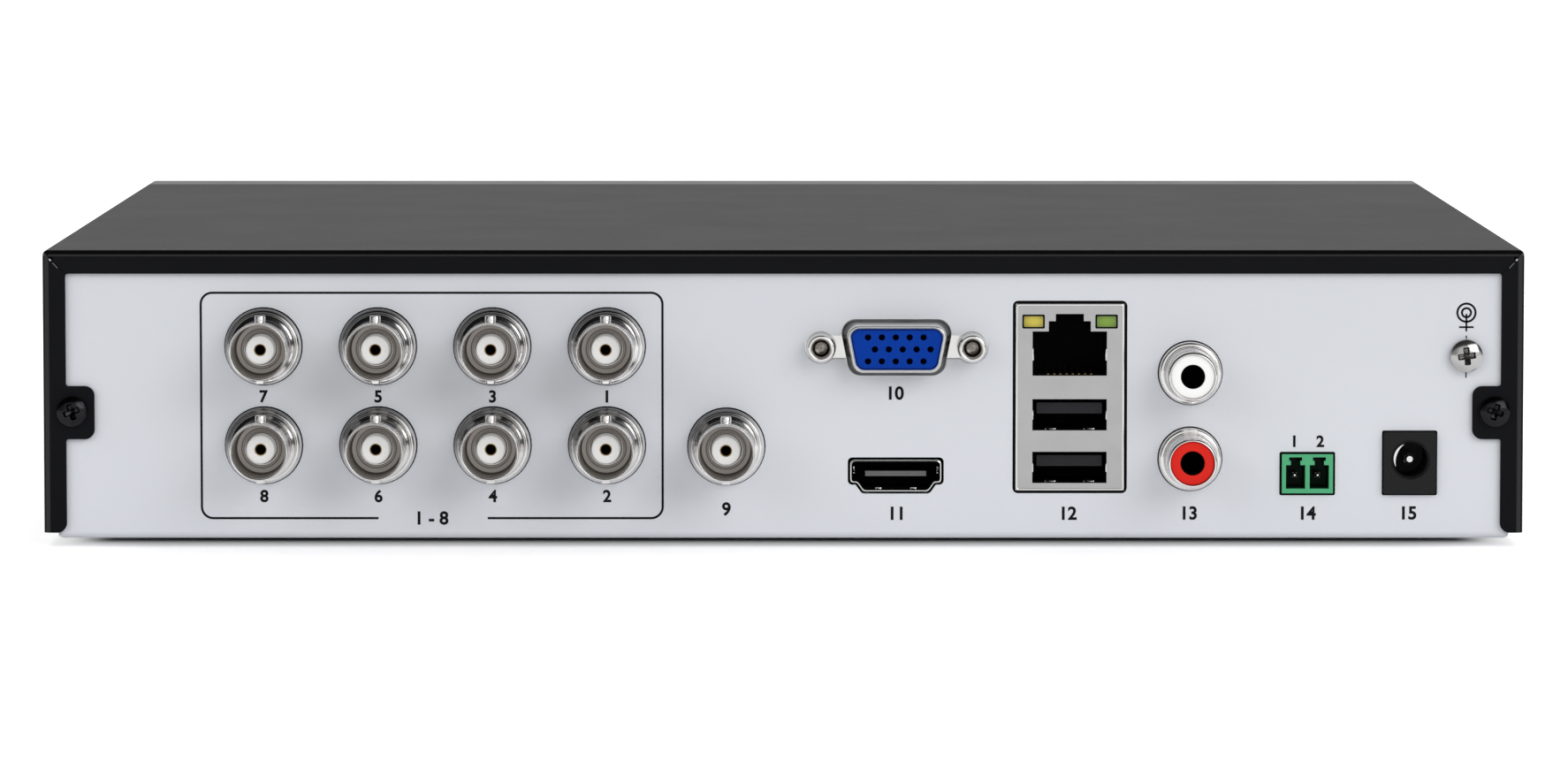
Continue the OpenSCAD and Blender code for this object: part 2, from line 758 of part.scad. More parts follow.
// The network opening: a wide well with two steps for the plug's latch, all as one outline
module port_outline() {
    translate([port_x, port_z]) square(port, center = true);
    translate([port_x, port_z + port.y / 2 + 0.8]) square([6.95, 1.8], center = true);
    translate([port_x, port_z + port.y / 2 + 2.2]) square([4.64, 1.4], center = true);
}
module usb_outline() { for (z = usb_z) translate([port_x, z]) square(usb, center = true); }
module lan_usb_shield() {
    inner = [stack.x - 2 * stack_wall, stack.y - 2 * stack_wall];
    color([0.66, 0.67, 0.68]) at_panel([stack_x, stack_z]) difference() {
        prism_z(-stack_l, 0.3) square(stack, center = true);
        prism_z(-stack_l - cut, 0.3 - stack_wall) square(inner, center = true);
        // Open below, where the insert stands on the board
        box([-stack_foot - 0.1, -stack.y, -stack_l - cut], [stack_foot + 0.1, 0, -3]);
        prism_z(-1, 1) {
            port_outline();
            usb_outline();
            for (p = lamp_at) translate(p) square(lamp, center = true);
        }
    }
}
module lan_insert() {
    inner = [stack.x - 2 * stack_wall, stack.y - 2 * stack_wall];
    front = 0.3 - stack_wall;
    back = -stack_l + 1;
    color([0.05, 0.05, 0.05]) at_panel([stack_x, stack_z]) difference() {
        union() {
            prism_z(back, front) square(inner, center = true);
            box([-stack_foot, board_top - under_z - stack_z, back], [stack_foot, -inner.y / 2 + 0.2, -3.1]);
        }
        prism_z(front - 13, front + cut) port_outline();
        prism_z(front - 12, front + cut) usb_outline();
        for (p = lamp_at) translate(p) prism_z(front - 6, front + cut) square(lamp, center = true);
    }
}
module usb_tongues() {
    color([0.25, 0.25, 0.26]) at_panel([stack_x, stack_z]) for (z = usb_z)
        box([port_x - 5.4, z + 0.1, -12], [port_x + 5.4, z + 1.9, -1.2]);
}
module lan_lamp(k) {
    at_panel([stack_x, stack_z]) translate(lamp_at[k]) prism_z(-stack_wall - 5, 0.3)
        square([lamp.x - 0.1, lamp.y - 0.1], center = true);
}
module lan_led_yellow() { color([0.85, 0.75, 0.1]) lan_lamp(0); }
module lan_led_green() { color([0.35, 0.7, 0.15]) lan_lamp(1); }

// Phono sockets ---------------------------------------------------------------------------------

phono_out = 9;
module rca_block() {
    color([0.1, 0.1, 0.11]) difference() {
        translate([phono_x - 5.6, panel_y - block_z, board_top])
            cube([11.2, 11, under_z + phonos[0].y + 6 - board_top]);
        for (p = phonos) at_panel(p) disc(5.2 + slack, -5, 0);
    }
}
module rca_shells() {
    color([0.8, 0.79, 0.77]) for (p = phonos) at_panel(p) difference() {
        union() {
            disc(5.2, -5, 1);
            taper(5.2, 4.9, 1, 1.4);
            disc(4.45, 1.3, 2.4);
            disc(phono_r, 2.3, phono_out - 0.3);
            taper(phono_r, phono_r - 0.25, phono_out - 0.3, phono_out);
        }
        disc(3.6 + slack, -5 - cut, phono_out + cut);
    }
}
module phono_core(p) {
    at_panel(p) difference() {
        disc(3.6, -5, phono_out - 0.4);
        disc(2, -1, phono_out);
    }
}
module rca_insulator_white() { color([0.95, 0.95, 0.94]) phono_core(phonos[0]); }
module rca_insulator_red() { color([0.85, 0.13, 0.1]) phono_core(phonos[1]); }

// Terminal header and power socket ----------------------------------------------------------------

module rs485_header() {
    w = header_hole.x - 0.5;
    h = header_hole.y - 0.5;
    low = board_top - under_z - header_z;
    color([0.1, 0.6, 0.35]) at_panel([header_x, header_z]) difference() {
        union() {
            box([-w / 2, -h / 2, -9], [w / 2, h / 2, 0.6]);
            box([-w / 2, low, -9], [w / 2, h / 2, block_z]);
        }
        // A chamber for each pole, with a T-shaped slot above it that the plug's latch enters
        for (side = [-1, 1]) translate([side * (header_pitch / 2 + 0.06), 0, 0]) {
            box([-1.6, -2.5, -7], [1.6, 1.45, 2]);
            box([-0.8, 1.4, -7], [0.8, 2.2, 2]);
            box([-1.08, 2.15, -7], [1.08, 2.75, 2]);
        }
    }
}
module rs485_pins() {
    color([0.8, 0.79, 0.76]) at_panel([header_x, header_z]) for (side = [-1, 1])
        translate([side * header_pitch / 2 - 0.1, -0.35, 0]) {
            box([-0.4, -0.4, -7], [0.4, 0.4, -1.5]);
            taper(0.4, 0.2, -1.5, -1.1);
        }
}

power_r = 2.9;
module dc_jack_body() {
    w = power_hole.x - 0.2;
    h = power_hole.y - 0.2;
    low = board_top - under_z - power_z;
    color([0.05, 0.05, 0.05]) at_panel([power_x, power_z]) difference() {
        union() {
            prism_z(-2, 0.7) round_rect(w, h, 0.4);
            box([-w / 2, low, -13], [w / 2, h / 2, block_z]);
        }
        translate(power_bore) {
            disc(power_r, -9.5, 2);
            taper(power_r, power_r + 0.4, 0.3, 0.71);
        }
    }
}
module dc_jack_pin() {
    color([0.8, 0.79, 0.76]) at_panel([power_x, power_z]) translate(power_bore) {
        disc(1, -9.5, -1.3);
        taper(1, 0.5, -1.3, -0.8);
    }
}

// Hard drive ----------------------------------------------------------------------------------------

function drive_holes() = [
    for (x = [0, 1], y = [screw_in, drive_w - screw_in])
        [drive_x - screw_first - screw_step * x, drive_y + y, 0]
];
module drive_box(t, z0, z1, r) {
    prism_z(z0, z1) round_span([drive_x - drive_l + t, drive_y + t], [drive_x - t, drive_y + drive_w - t], r);
}
cavity_z = drive_z + 8;
lid_z = drive_z + drive_h - drive_lid;
notch = 34;
module hdd_base() {
    color([0.62, 0.63, 0.65]) difference() {
        union() {
            difference() {
                drive_box(0, drive_z, lid_z, 2);
                drive_box(drive_wall, cavity_z, lid_z + cut, 2);
            }
            translate(spindle) disc(7, cavity_z - 1, disk_z - 2);
            translate(pivot) disc(4.5, cavity_z - 1, disk_z - 2);
            // Magnet blocks around the arm's coil
            translate(pivot) box([8, -16, cavity_z - 1], [32, 8, disk_z - 2.2]);
        }
        translate(spindle) disc(2.05, cavity_z - 3, lid_z);
        translate(pivot) disc(2.05, cavity_z - 3, lid_z);
        for (p = drive_holes()) translate(p) disc(screw_r + slack, drive_z - cut, drive_z + 6);
        // Recess for the drive's own board, and the notch for its connector
        box(
            [drive_x - 66, drive_y + 8, drive_z - cut],
            [drive_x + cut, drive_y + drive_w - 8, drive_z + 2.4]
        );
        box(
            [drive_x - 7, drive_mid - notch / 2, drive_z - cut],
            [drive_x + cut, drive_mid + notch / 2, drive_z + 6.5]
        );
    }
}
module hdd_cover() {
    color([0.75, 0.75, 0.76]) union() {
        drive_box(0.6, lid_z, drive_z + drive_h, 2);
        translate(spindle) disc(2, lid_z - 1.2, lid_z + 0.1);
    }
}
module hdd_board() {
    t = 1.2;
    color([0.1, 0.3, 0.45]) difference() {
        union() {
            box(
                [drive_x - 65.6, drive_y + 8.4, drive_z + 0.8],
                [drive_x - 1, drive_y + drive_w - 8.4, drive_z + 0.8 + t]
            );
            box(
                [drive_x - 6.6, drive_mid - notch / 2 + 0.4, drive_z + 0.6],
                [drive_x, drive_mid + notch / 2 - 0.4, drive_z + 6.1]
            );
        }
        for (k = [-1, 1]) box(
            [drive_x - 4.5, drive_mid + k * 8.2 - 5.5 + (k < 0 ? -1 : 0), drive_z + 2.2],
            [drive_x + cut, drive_mid + k * 8.2 + 5.5 + (k > 0 ? 0 : 0), drive_z + 4.6]
        );
    }
}
module disk_pack() {
    color([0.82, 0.83, 0.85]) translate([spindle.x, spindle.y, disk_z]) {
        for (k = [0, 1]) difference() {
            disc(disk_r, k * disk_step, k * disk_step + disk_t);
            disc(10, k * disk_step - cut, k * disk_step + disk_t + cut);
        }
        difference() {
            union() {
                disc(11, -1.2, disk_step + disk_t + 1.2);
                disc(2, -6, 0);
            }
            disc(2.4, disk_step, 20);
        }
    }
}
module head_arm() {
    gap = 0.9;
    levels = [-gap - 1.1, disk_t + (disk_step - disk_t) / 2 - 0.5, disk_step + disk_t + gap];
    color([0.7, 0.7, 0.68]) translate([pivot.x, pivot.y, disk_z]) {
        disc(6.2, -1.6, disk_step + disk_t + 2);
        disc(2, -6, 0);
        rotate(arm_turn) for (z = levels) prism_z(z, z + 1)
            polygon([
                [2, -5.5], [arm_l * 0.55, -2.4], [arm_l, -1.2],
                [arm_l, 1.2], [arm_l * 0.55, 2.4], [2, 5.5]
            ]);
        rotate(arm_turn + 180) difference() {
            prism_z(1, 3) polygon([[2, -4.5], [17, -9], [19, 0], [17, 9], [2, 4.5]]);
            prism_z(0, 4) polygon([[9, -3], [14.5, -5], [15.5, 0], [14.5, 5], [9, 3]]);
        }
    }
}
module drive_screws() {
    color([0.8, 0.8, 0.8]) for (p = drive_holes()) translate([p.x, p.y, drive_z - 1]) mirror([0, 0, 1])
        cross_screw(screw_r, 3, 1.4, 6);
}

// Fan --------------------------------------------------------------------------------------------------

module fan_corners() {
    for (a = [-1, 1], b = [-1, 1]) translate([a * fan_pitch / 2, b * fan_pitch / 2, 0]) children();
}
// Local Z points out through the case's side
module at_fan() { translate([fan_face, fan_y, fan_z]) rotate([0, 90, 0]) children(); }
fan_hub = 8.6;
module fan_frame() {
    plate = 1.4;
    color([0.08, 0.08, 0.085]) at_fan() difference() {
        union() {
            difference() {
                prism_z(0, fan_d) round_rect(fan_w, fan_w, 3);
                disc(fan_bore, -cut, fan_d + cut);
            }
            disc(fan_hub, fan_d - plate, fan_d);
            for (k = [0:2]) rotate(30 + 120 * k)
                box([fan_hub - 1, -1.2, fan_d - plate], [fan_bore + 0.6, 1.2, fan_d]);
            disc(3, 2.6, fan_d - plate + 0.1);
        }
        fan_corners() disc(screw_hole, -cut, fan_d + cut);
        disc(1.05, 2, fan_d - 0.5);
    }
}
module fan_rotor() {
    tip_r = fan_bore - 0.7;
    color([0.1, 0.1, 0.105]) at_fan() {
        difference() {
            disc(fan_hub - 0.3, 0.8, fan_d - 2);
            disc(fan_hub - 1.3, 2, fan_d);
        }
        disc(1, 1, fan_d - 1.2);
        for (k = [0:blade_count - 1]) rotate(360 / blade_count * k) intersection() {
            translate([fan_hub - 0.8, 0, fan_d / 2 - 0.8]) rotate([38, 0, 0])
                box([0, -4.6, -0.45], [14, 4.6, 0.45]);
            disc(tip_r, 1, fan_d - 2);
        }
    }
}
module fan_screws() {
    color([0.8, 0.8, 0.8]) at_fan() fan_corners() mirror([0, 0, 1])
        cross_screw(screw_r, 2.6, 1.5, fan_d + pan_t);
}

// Leads ----------------------------------------------------------------------------------------------------

wire_r = 0.8;
cord_r = 1.7;
thin_r = 0.6;
wire_sides = 8;
// Smooth route through hand chosen points, with n steps from each point to the next
function between(a, b, c, d, t) =
    0.5 * (2 * b + (c - a) * t + (2 * a - 5 * b + 4 * c - d) * t * t + (3 * b - a - 3 * c + d) * t * t * t);
function route(p, n) = let (m = len(p) - 1) concat(
    [for (i = [0:m - 1], k = [0:n - 1])
        between(p[max(i - 1, 0)], p[i], p[i + 1], p[min(i + 2, m)], k / n)],
    [p[m]]
);
// Ring of radius r square to the route; no route runs along the direction called across
function ring(o, along, across, r) =
    let (side = unit(cross(along, across)), up = unit(cross(side, along)))
        [for (k = [0:wire_sides - 1])
            let (t = 360 / wire_sides * (k + 0.5)) o + r * (side * cos(t) + up * sin(t))];
module wire(points, r, across) {
    path = route(points, 5);
    n = len(path);
    s = wire_sides;
    rings = [for (i = [0:n - 1])
        each ring(path[i], unit(path[min(i + 1, n - 1)] - path[max(i - 1, 0)]), across, r)];
    sides = [for (i = [0:n - 2], k = [0:s - 1])
        let (j = i * s, q = (k + 1) % s)
            each [[j + k, j + q, j + s + q], [j + k, j + s + q, j + s + k]]];
    ends = [[for (k = [s - 1:-1:0]) k], [for (k = [0:s - 1]) (n - 1) * s + k]];
    polyhedron(rings, concat(sides, ends));
}

// Data cord and supply wires from plugs on the board to plugs on the drive
plug_z = board_top + 1.7;
plug_h = 12;
drive_plug_y = [drive_mid + 7.7, drive_mid - 8.7];
module drive_cable() {
    from = [data_at, supply_at];
    half = [[4.5, 1.1], [5.1, 1.6]];
    color([0.65, 0.12, 0.1]) union() {
        for (k = [0, 1]) {
            p = [from[k].x, from[k].y, plug_z];
            q = [drive_x, drive_plug_y[k], drive_z + 3.4];
            box(p - [half[k].x, half[k].y, 0], p + [half[k].x, half[k].y, plug_h]);
            box(q - [4, 4.6, 1], q + [0.4, 4.6, 1]);
            box(q - [-0.2, 5.8, 2.4], q + [8, 5.8, 2.4]);
        }
        supply_run(from[0], drive_plug_y[0], 0, cord_r);
        for (o = [-3, -1, 1, 3]) supply_run(from[1], drive_plug_y[1], o, wire_r);
    }
}
// One wire from the plug at p to the drive's plug at y, o to the side of the middle
module supply_run(p, y, o, r) {
    start = plug_z + plug_h;
    end_x = drive_x + 8;
    end_z = drive_z + 3.4;
    wire([
        [p.x + o, p.y, start - 1],
        [p.x + o, p.y, start + 5],
        [p.x + o - 2, p.y + 8, start + 12],
        [p.x + o - 4, p.y + 24, start + 10],
        [end_x + 14 + o / 2, y - 6 + o, start - 2],
        [end_x + 6, y + o, end_z + 1],
        [end_x - 1, y + o, end_z]
    ], r, [1, 1, 0.2]);
}

// Fan lead and indicator lead: parallel wires with a plug at each end
small_h = 9;
module small_plug(p, half) { box(p - [half, 1.3, 0], p + [half, 1.3, small_h]); }
module inner_leads() {
    top = plug_z + small_h;
    fan_end = [fan_face + 4.5, fan_y - fan_w / 2 - 2.4, fan_z + 10];
    color([0.15, 0.15, 0.16]) union() {
        small_plug([fan_plug.x, fan_plug.y, plug_z], 2.1);
        small_plug([lead_plug.x, lead_plug.y, plug_z], 3.1);
        box(fan_end - [2.5, 0, 2], fan_end + [2.5, 2.4, 2]);
        for (o = [-1, 1]) wire([
            [fan_plug.x + o, fan_plug.y, top - 1],
            [fan_plug.x + o, fan_plug.y, top + 6],
            [fan_plug.x + 3 + o, fan_plug.y + 8, top + 11],
            [fan_end.x - 5 + o, fan_end.y - 22, fan_end.z - 3],
            [fan_end.x + o, fan_end.y - 9, fan_end.z],
            [fan_end.x + o, fan_end.y + 1, fan_end.z]
        ], thin_r, [1, -1, 0.2]);
        for (o = [-2, 0, 2]) wire([
            [lead_x + o, lead_plug.y, top - 1],
            [lead_x + o, lead_plug.y, top + 5],
            [lead_x + 3 + o, lead_plug.y + 14, top + 6],
            [lead_x + 4 + o, lead_plug.y + 50, lead_z + 2],
            [lead_x + o, front_y - 16, lead_z],
            [lead_x + o, led_board_y - 4.6 - slack, lead_z]
        ], thin_r, [1, 0, 0.2]);
    }
}

chassis_pan();
top_cover();
front_bezel();
front_window();
light_pipes();
front_led_board();
rubber_feet();
cover_screws();
ground_screw();
board_standoffs();
board_screws();
main_board();
board_chips();
heat_sink();
capacitors();
battery_holder();
coin_cell();
sata_headers();
for (i = [1:8]) bnc_shell(socket_at(i));
bnc_shell(audio_at);  // bnc_shell_audio
bnc_blocks();
bnc_insulators();
bnc_contacts();
vga_riser();
vga_shell();
vga_insulator();
vga_jackposts();
hdmi_shell();
hdmi_tongue();
lan_usb_shield();
lan_insert();
usb_tongues();
lan_led_yellow();
lan_led_green();
rca_block();
rca_shells();
rca_insulator_white();
rca_insulator_red();
rs485_header();
rs485_pins();
dc_jack_body();
dc_jack_pin();
hdd_base();
hdd_cover();
hdd_board();
disk_pack();
head_arm();
drive_screws();
fan_frame();
fan_rotor();
fan_screws();
drive_cable();
inner_leads();
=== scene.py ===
# Eight channel video recorder, seen from its connector side.
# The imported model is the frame; this script gives it its finishes, its fine pieces, the floor and the light.
import json
import math

import bpy
import numpy as np
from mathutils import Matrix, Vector
from mathutils.bvhtree import BVHTree

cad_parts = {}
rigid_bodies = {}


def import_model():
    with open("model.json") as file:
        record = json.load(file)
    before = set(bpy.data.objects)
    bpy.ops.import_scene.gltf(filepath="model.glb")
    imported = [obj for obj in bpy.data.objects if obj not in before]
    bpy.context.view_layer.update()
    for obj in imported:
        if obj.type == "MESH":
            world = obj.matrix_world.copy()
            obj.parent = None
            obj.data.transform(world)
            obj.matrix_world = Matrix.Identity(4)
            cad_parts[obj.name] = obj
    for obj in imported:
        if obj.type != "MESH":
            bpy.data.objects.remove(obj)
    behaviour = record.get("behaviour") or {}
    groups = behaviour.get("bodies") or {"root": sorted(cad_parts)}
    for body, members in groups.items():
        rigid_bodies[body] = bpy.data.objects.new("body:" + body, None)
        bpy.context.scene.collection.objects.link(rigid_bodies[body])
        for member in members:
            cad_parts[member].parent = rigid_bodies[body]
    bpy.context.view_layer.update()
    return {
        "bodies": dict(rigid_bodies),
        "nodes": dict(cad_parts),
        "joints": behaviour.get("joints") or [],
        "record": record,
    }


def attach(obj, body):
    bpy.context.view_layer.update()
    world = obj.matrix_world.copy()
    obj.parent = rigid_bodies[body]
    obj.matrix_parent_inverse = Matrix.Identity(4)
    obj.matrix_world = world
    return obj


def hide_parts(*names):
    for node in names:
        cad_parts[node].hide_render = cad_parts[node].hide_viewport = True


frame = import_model()
nodes = frame["nodes"]
metre = 0.001  # the lengths below are millimetres

# the case's planes, as the CAD has them
case = {"panelY": -100.6, "underZ": 1.5, "boardTop": 8.5}
# the grid of the round sockets, also read by their metal's finish to place its painted dark reflection
socketGrid = {"x": -86.0, "pitch": 18.93, "low": 15.5, "rise": 16.43}

# camera: the photograph's viewing angle
shot = {"place": (0.1, -1334.3, 126.9), "down": 4.683, "lens": 171.72, "sensor": 36}
cameraData = bpy.data.cameras.new("photoCamera")
cameraData.lens = shot["lens"]
cameraData.sensor_width = shot["sensor"]
cameraData.clip_start = 0.01
cameraData.clip_end = 50
camera = bpy.data.objects.new("photoCamera", cameraData)
camera.location = [c * metre for c in shot["place"]]
camera.rotation_euler = (math.radians(90 - shot["down"]), 0, 0)
bpy.context.scene.collection.objects.link(camera)
bpy.context.scene.camera = camera
bpy.context.scene.view_settings.view_transform = "Standard"
print("camera set")


# shader maths

class Signal:
    # one output of a node; arithmetic on it adds Math nodes
    def __init__(self, finish, socket):
        self.finish = finish
        self.socket = socket

    def __add__(self, other):
        return self.finish.maths("ADD", self, other)

    def __sub__(self, other):
        return self.finish.maths("SUBTRACT", self, other)

    def __rsub__(self, other):
        return self.finish.maths("SUBTRACT", other, self)

    def __mul__(self, other):
        return self.finish.maths("MULTIPLY", self, other)

    def __truediv__(self, other):
        return self.finish.maths("DIVIDE", self, other)

    def __pow__(self, other):
        return self.finish.maths("POWER", self, other)

    def __neg__(self):
        return self.finish.maths("SUBTRACT", 0, self)

    def __lt__(self, other):
        return self.finish.maths("LESS_THAN", self, other)

    def __gt__(self, other):
        return self.finish.maths("GREATER_THAN", self, other)

    __radd__ = __add__
    __rmul__ = __mul__

    def size(self):
        return self.finish.maths("ABSOLUTE", self)

    def most(self, other):
        return self.finish.maths("MAXIMUM", self, other)

    # 0 below low, 1 above high, a smooth step between
    def step(self, low, high):
        return self.finish.read("ShaderNodeMapRange", {"interpolation_type": "SMOOTHSTEP"},
                                {0: self, 1: low, 2: high, 3: 0.0, 4: 1.0})

    # distance from the middle of the cell of that pitch, from 0 to half a pitch
    def fromMiddle(self, pitch):
        return (self.finish.maths("FLOORED_MODULO", self, pitch) - pitch / 2).size()


class Finish:
    # a material, or the world, with one method for any node that it needs
    def __init__(self, name, fixed=None, block=None):
        self.block = block or bpy.data.materials.new(name)
        self.block.use_nodes = True
        self.tree = self.block.node_tree
        self.tree.nodes.clear()
        if block is None:
            self.shader = self.node("ShaderNodeBsdfPrincipled")
            self.end = self.node("ShaderNodeOutputMaterial")
            self.join(self.shader.outputs[0], self.end.inputs[0])
            for socket, value in (fixed or {}).items():
                self.feed(socket, value)

    def join(self, source, target):
        self.tree.links.new(source, target)

    def node(self, kind, settings=None, sockets=None):
        made = self.tree.nodes.new(kind)
        for key, value in (settings or {}).items():
            setattr(made, key, value)
        for key, value in (sockets or {}).items():
            self.put(made.inputs[key], value)
        return made

    def put(self, socket, value):
        if isinstance(value, Signal):
            self.join(value.socket, socket)
        elif hasattr(value, "__len__") and len(value) == 3 and len(socket.default_value) == 4:
            socket.default_value = (*value, 1)
        else:
            socket.default_value = value

    def read(self, kind, settings=None, sockets=None, output=0):
        return Signal(self, self.node(kind, settings, sockets).outputs[output])

    def maths(self, operation, *values):
        return self.read("ShaderNodeMath", {"operation": operation}, dict(enumerate(values)))

    def vector(self, operation, *values):
        return self.read("ShaderNodeVectorMath", {"operation": operation}, dict(enumerate(values)))

    def mix(self, factor, first, second):
        return self.read("ShaderNodeMix", {"data_type": "RGBA"}, {0: factor, 6: first, 7: second}, 2)

    def feed(self, socket, value):
        self.put(self.shader.inputs[socket], value)

    # place on the object in millimetres
    def place(self, scale=(1000, 1000, 1000)):
        return self.vector("MULTIPLY", self.read("ShaderNodeTexCoord", output=3), scale)

    def axes(self):
        parts = self.node("ShaderNodeSeparateXYZ", sockets={0: self.place()})
        return [Signal(self, out) for out in parts.outputs]

    # noise whose features are about size millimetres, 0 to 1, stretched by the three factors
    def noise(self, size, detail=3, rough=0.5, stretch=(1, 1, 1)):
        scale = [1000 / (size * s) for s in stretch]
        return self.read("ShaderNodeTexNoise", None,
                         {"Vector": self.place(scale), "Scale": 1.0, "Detail": detail, "Roughness": rough})

    def cells(self, size, output="Distance"):
        scale = [1000 / size] * 3
        return self.read("ShaderNodeTexVoronoi", None, {"Vector": self.place(scale), "Scale": 1.0}, output)

    # height in millimetres turned into a bumped normal
    def bump(self, height, depth):
        sockets = {"Height": height, "Distance": depth * metre, "Strength": 1.0}
        self.feed("Normal", self.read("ShaderNodeBump", None, sockets))
        return self


def shade(colour, factor):
    return tuple(c * factor for c in colour)


# moulded plastic: a fine spark-eroded grain, cloudy roughness and a slight drift of colour
def plastic(name, colour, roughness=0.45, grain=0.35, depth=0.012, drift=0.12, fixed=None):
    f = Finish(name, {"Roughness": roughness, **(fixed or {})})
    cloud = f.noise(9, 3)
    fine = f.noise(grain, 2)
    f.feed("Base Color", f.mix(cloud, shade(colour, 1 - drift), shade(colour, 1 + drift)))
    f.feed("Roughness", cloud * 0.12 + fine * 0.06 + (roughness - 0.09))
    return f.bump(fine, depth)


# plated or bare metal: turning or drawing marks, patches of different polish, a little dulling
def metal(name, colour, roughness=0.25, mark=0.5, stretch=(1, 1, 1), depth=0.003, dull=0.85):
    f = Finish(name, {"Metallic": 1.0})
    marks = f.noise(mark, 3, 0.6, stretch)
    patch = f.noise(4.5, 3)
    f.feed("Base Color", f.mix(patch, shade(colour, dull), colour))
    f.feed("Roughness", marks * 0.12 + patch * 0.1 + (roughness - 0.11))
    return f.bump(marks, depth)


def dress(finish, *names):
    for name in names:
        data = nodes[name].data
        if not data.materials:
            data.materials.append(finish.block)
        for k in range(len(data.materials)):
            data.materials[k] = finish.block


# surfaces

class Surface:
    # points and faces that grow by joining; points are millimetres
    def __init__(self):
        self.points = np.zeros((0, 3))
        self.faces = []

    def add(self, points, faces):
        start = len(self.points)
        self.points = np.vstack([self.points, np.asarray(points, float).reshape(-1, 3)])
        self.faces += [(np.asarray(f) + start).tolist() for f in faces]
        return self

    def join(self, other, move=None):
        points = other.points if move is None else move(other.points)
        return self.add(points, other.faces)


# a grid of points, rows by columns: face k, j joins rows k and k + 1 at columns j and j + 1
def gridFaces(rows, columns, loopRows, loopColumns):
    counts = rows - (not loopRows), columns - (not loopColumns)
    k, j = np.meshgrid(*[np.arange(n) for n in counts], indexing="ij")
    k2, j2 = (k + 1) % rows, (j + 1) % columns
    quads = np.stack([k * columns + j, k * columns + j2, k2 * columns + j2, k2 * columns + j], -1)
    return quads.reshape(-1, 4).tolist()


# loft: closed outlines stacked in rows; an open stack is capped at both ends
def loft(points, closed=True):
    rows, columns = points.shape[:2]
    faces = gridFaces(rows, columns, closed, True)
    if not closed:
        faces.append(list(range(columns - 1, -1, -1)))
        faces.append(list(range((rows - 1) * columns, rows * columns)))
    return Surface().add(points, faces)


# lathe: (r cos t, r sin t, z) for each profile point (r, z), counter-clockwise where closed
def lathe(profile, count=96, closed=True):
    profile = np.asarray(profile, float)
    turn = np.linspace(0, 2 * np.pi, count, endpoint=False)
    r, z = profile[:, 0, None], profile[:, 1, None]
    points = np.stack([r * np.cos(turn), r * np.sin(turn), z + 0 * turn], -1)
    return loft(points, closed)


# corners rounded: each becomes the curve a (1-t)^2 + 2 p t (1-t) + b t^2 between its two tangent points
def soften(corners, radius, steps=4):
    corners = np.asarray(corners, float)
    before, after = np.roll(corners, 1, 0), np.roll(corners, -1, 0)
    reach = np.broadcast_to(np.asarray(radius, float), len(corners))[:, None]
    out = []
    for side in (before, after):
        edge = side - corners
        length = np.linalg.norm(edge, axis=1, keepdims=True)
        out.append(corners + edge / length * np.minimum(reach, 0.45 * length))
    t = np.linspace(0, 1, steps + 1)[None, :, None]
    curve = out[0][:, None] * (1 - t) ** 2 + 2 * corners[:, None] * t * (1 - t) + out[1][:, None] * t ** 2
    return curve.reshape(-1, corners.shape[1])


# outline through corner circles of radius r: p + r (cos a, sin a), a running over each corner's turn
def roundOutline(corners, r, steps=8):
    corners = np.asarray(corners, float)
    edge = np.roll(corners, -1, 0) - corners
    facing = np.arctan2(-edge[:, 0], edge[:, 1])
    start = np.roll(facing, 1)
    span = (facing - start) % (2 * np.pi)
    a = start[:, None] + span[:, None] * np.linspace(0, 1, steps + 1)
    ring = np.stack([np.cos(a), np.sin(a)], -1) * r
    return (corners[:, None] + ring).reshape(-1, 2)


def roundBox(w, h, r, steps=8):
    x, y = w / 2 - r, h / 2 - r
    return roundOutline([(-x, -y), (x, -y), (x, y), (-x, y)], r, steps)


# D outline, whose sides lean in by that share of their height towards the bottom
def connectorOutline(w, h, r, lean, steps=8):
    x, y = w / 2 - r, h / 2 - r
    inward = 2 * y * lean
    return roundOutline([(inward - x, -y), (x - inward, -y), (x, y), (-x, y)], r, steps)


def atHeight(outline, z):
    return np.column_stack([outline, np.full(len(outline), float(z))])


# rows of a loft: the outline drawn in by t at height z, for each (t, z)
def stackRows(outline, levels):
    return np.stack([atHeight(outline(t), z) for t, z in levels])


# a slab between heights z0 and z1 with that outline
def slab(outline, z0, z1):
    return loft(np.stack([atHeight(outline, z0), atHeight(outline, z1)]), closed=False)


def block(low, high, r=0.0):
    low, high = np.asarray(low, float), np.asarray(high, float)
    size, middle = high - low, (high + low) / 2
    r = min(r, 0.45 * min(size))
    if r <= 0:
        s = slab(np.array([(-1, -1), (1, -1), (1, 1), (-1, 1)]) * size[:2] / 2, -size[2] / 2, size[2] / 2)
    else:
        levels = [(r, -size[2] / 2), (0, r - size[2] / 2), (0, size[2] / 2 - r), (r, size[2] / 2)]
        s = loft(stackRows(lambda t: roundBox(size[0] - 2 * t, size[1] - 2 * t, r, 2), levels), False)
    s.points = s.points + middle
    return s


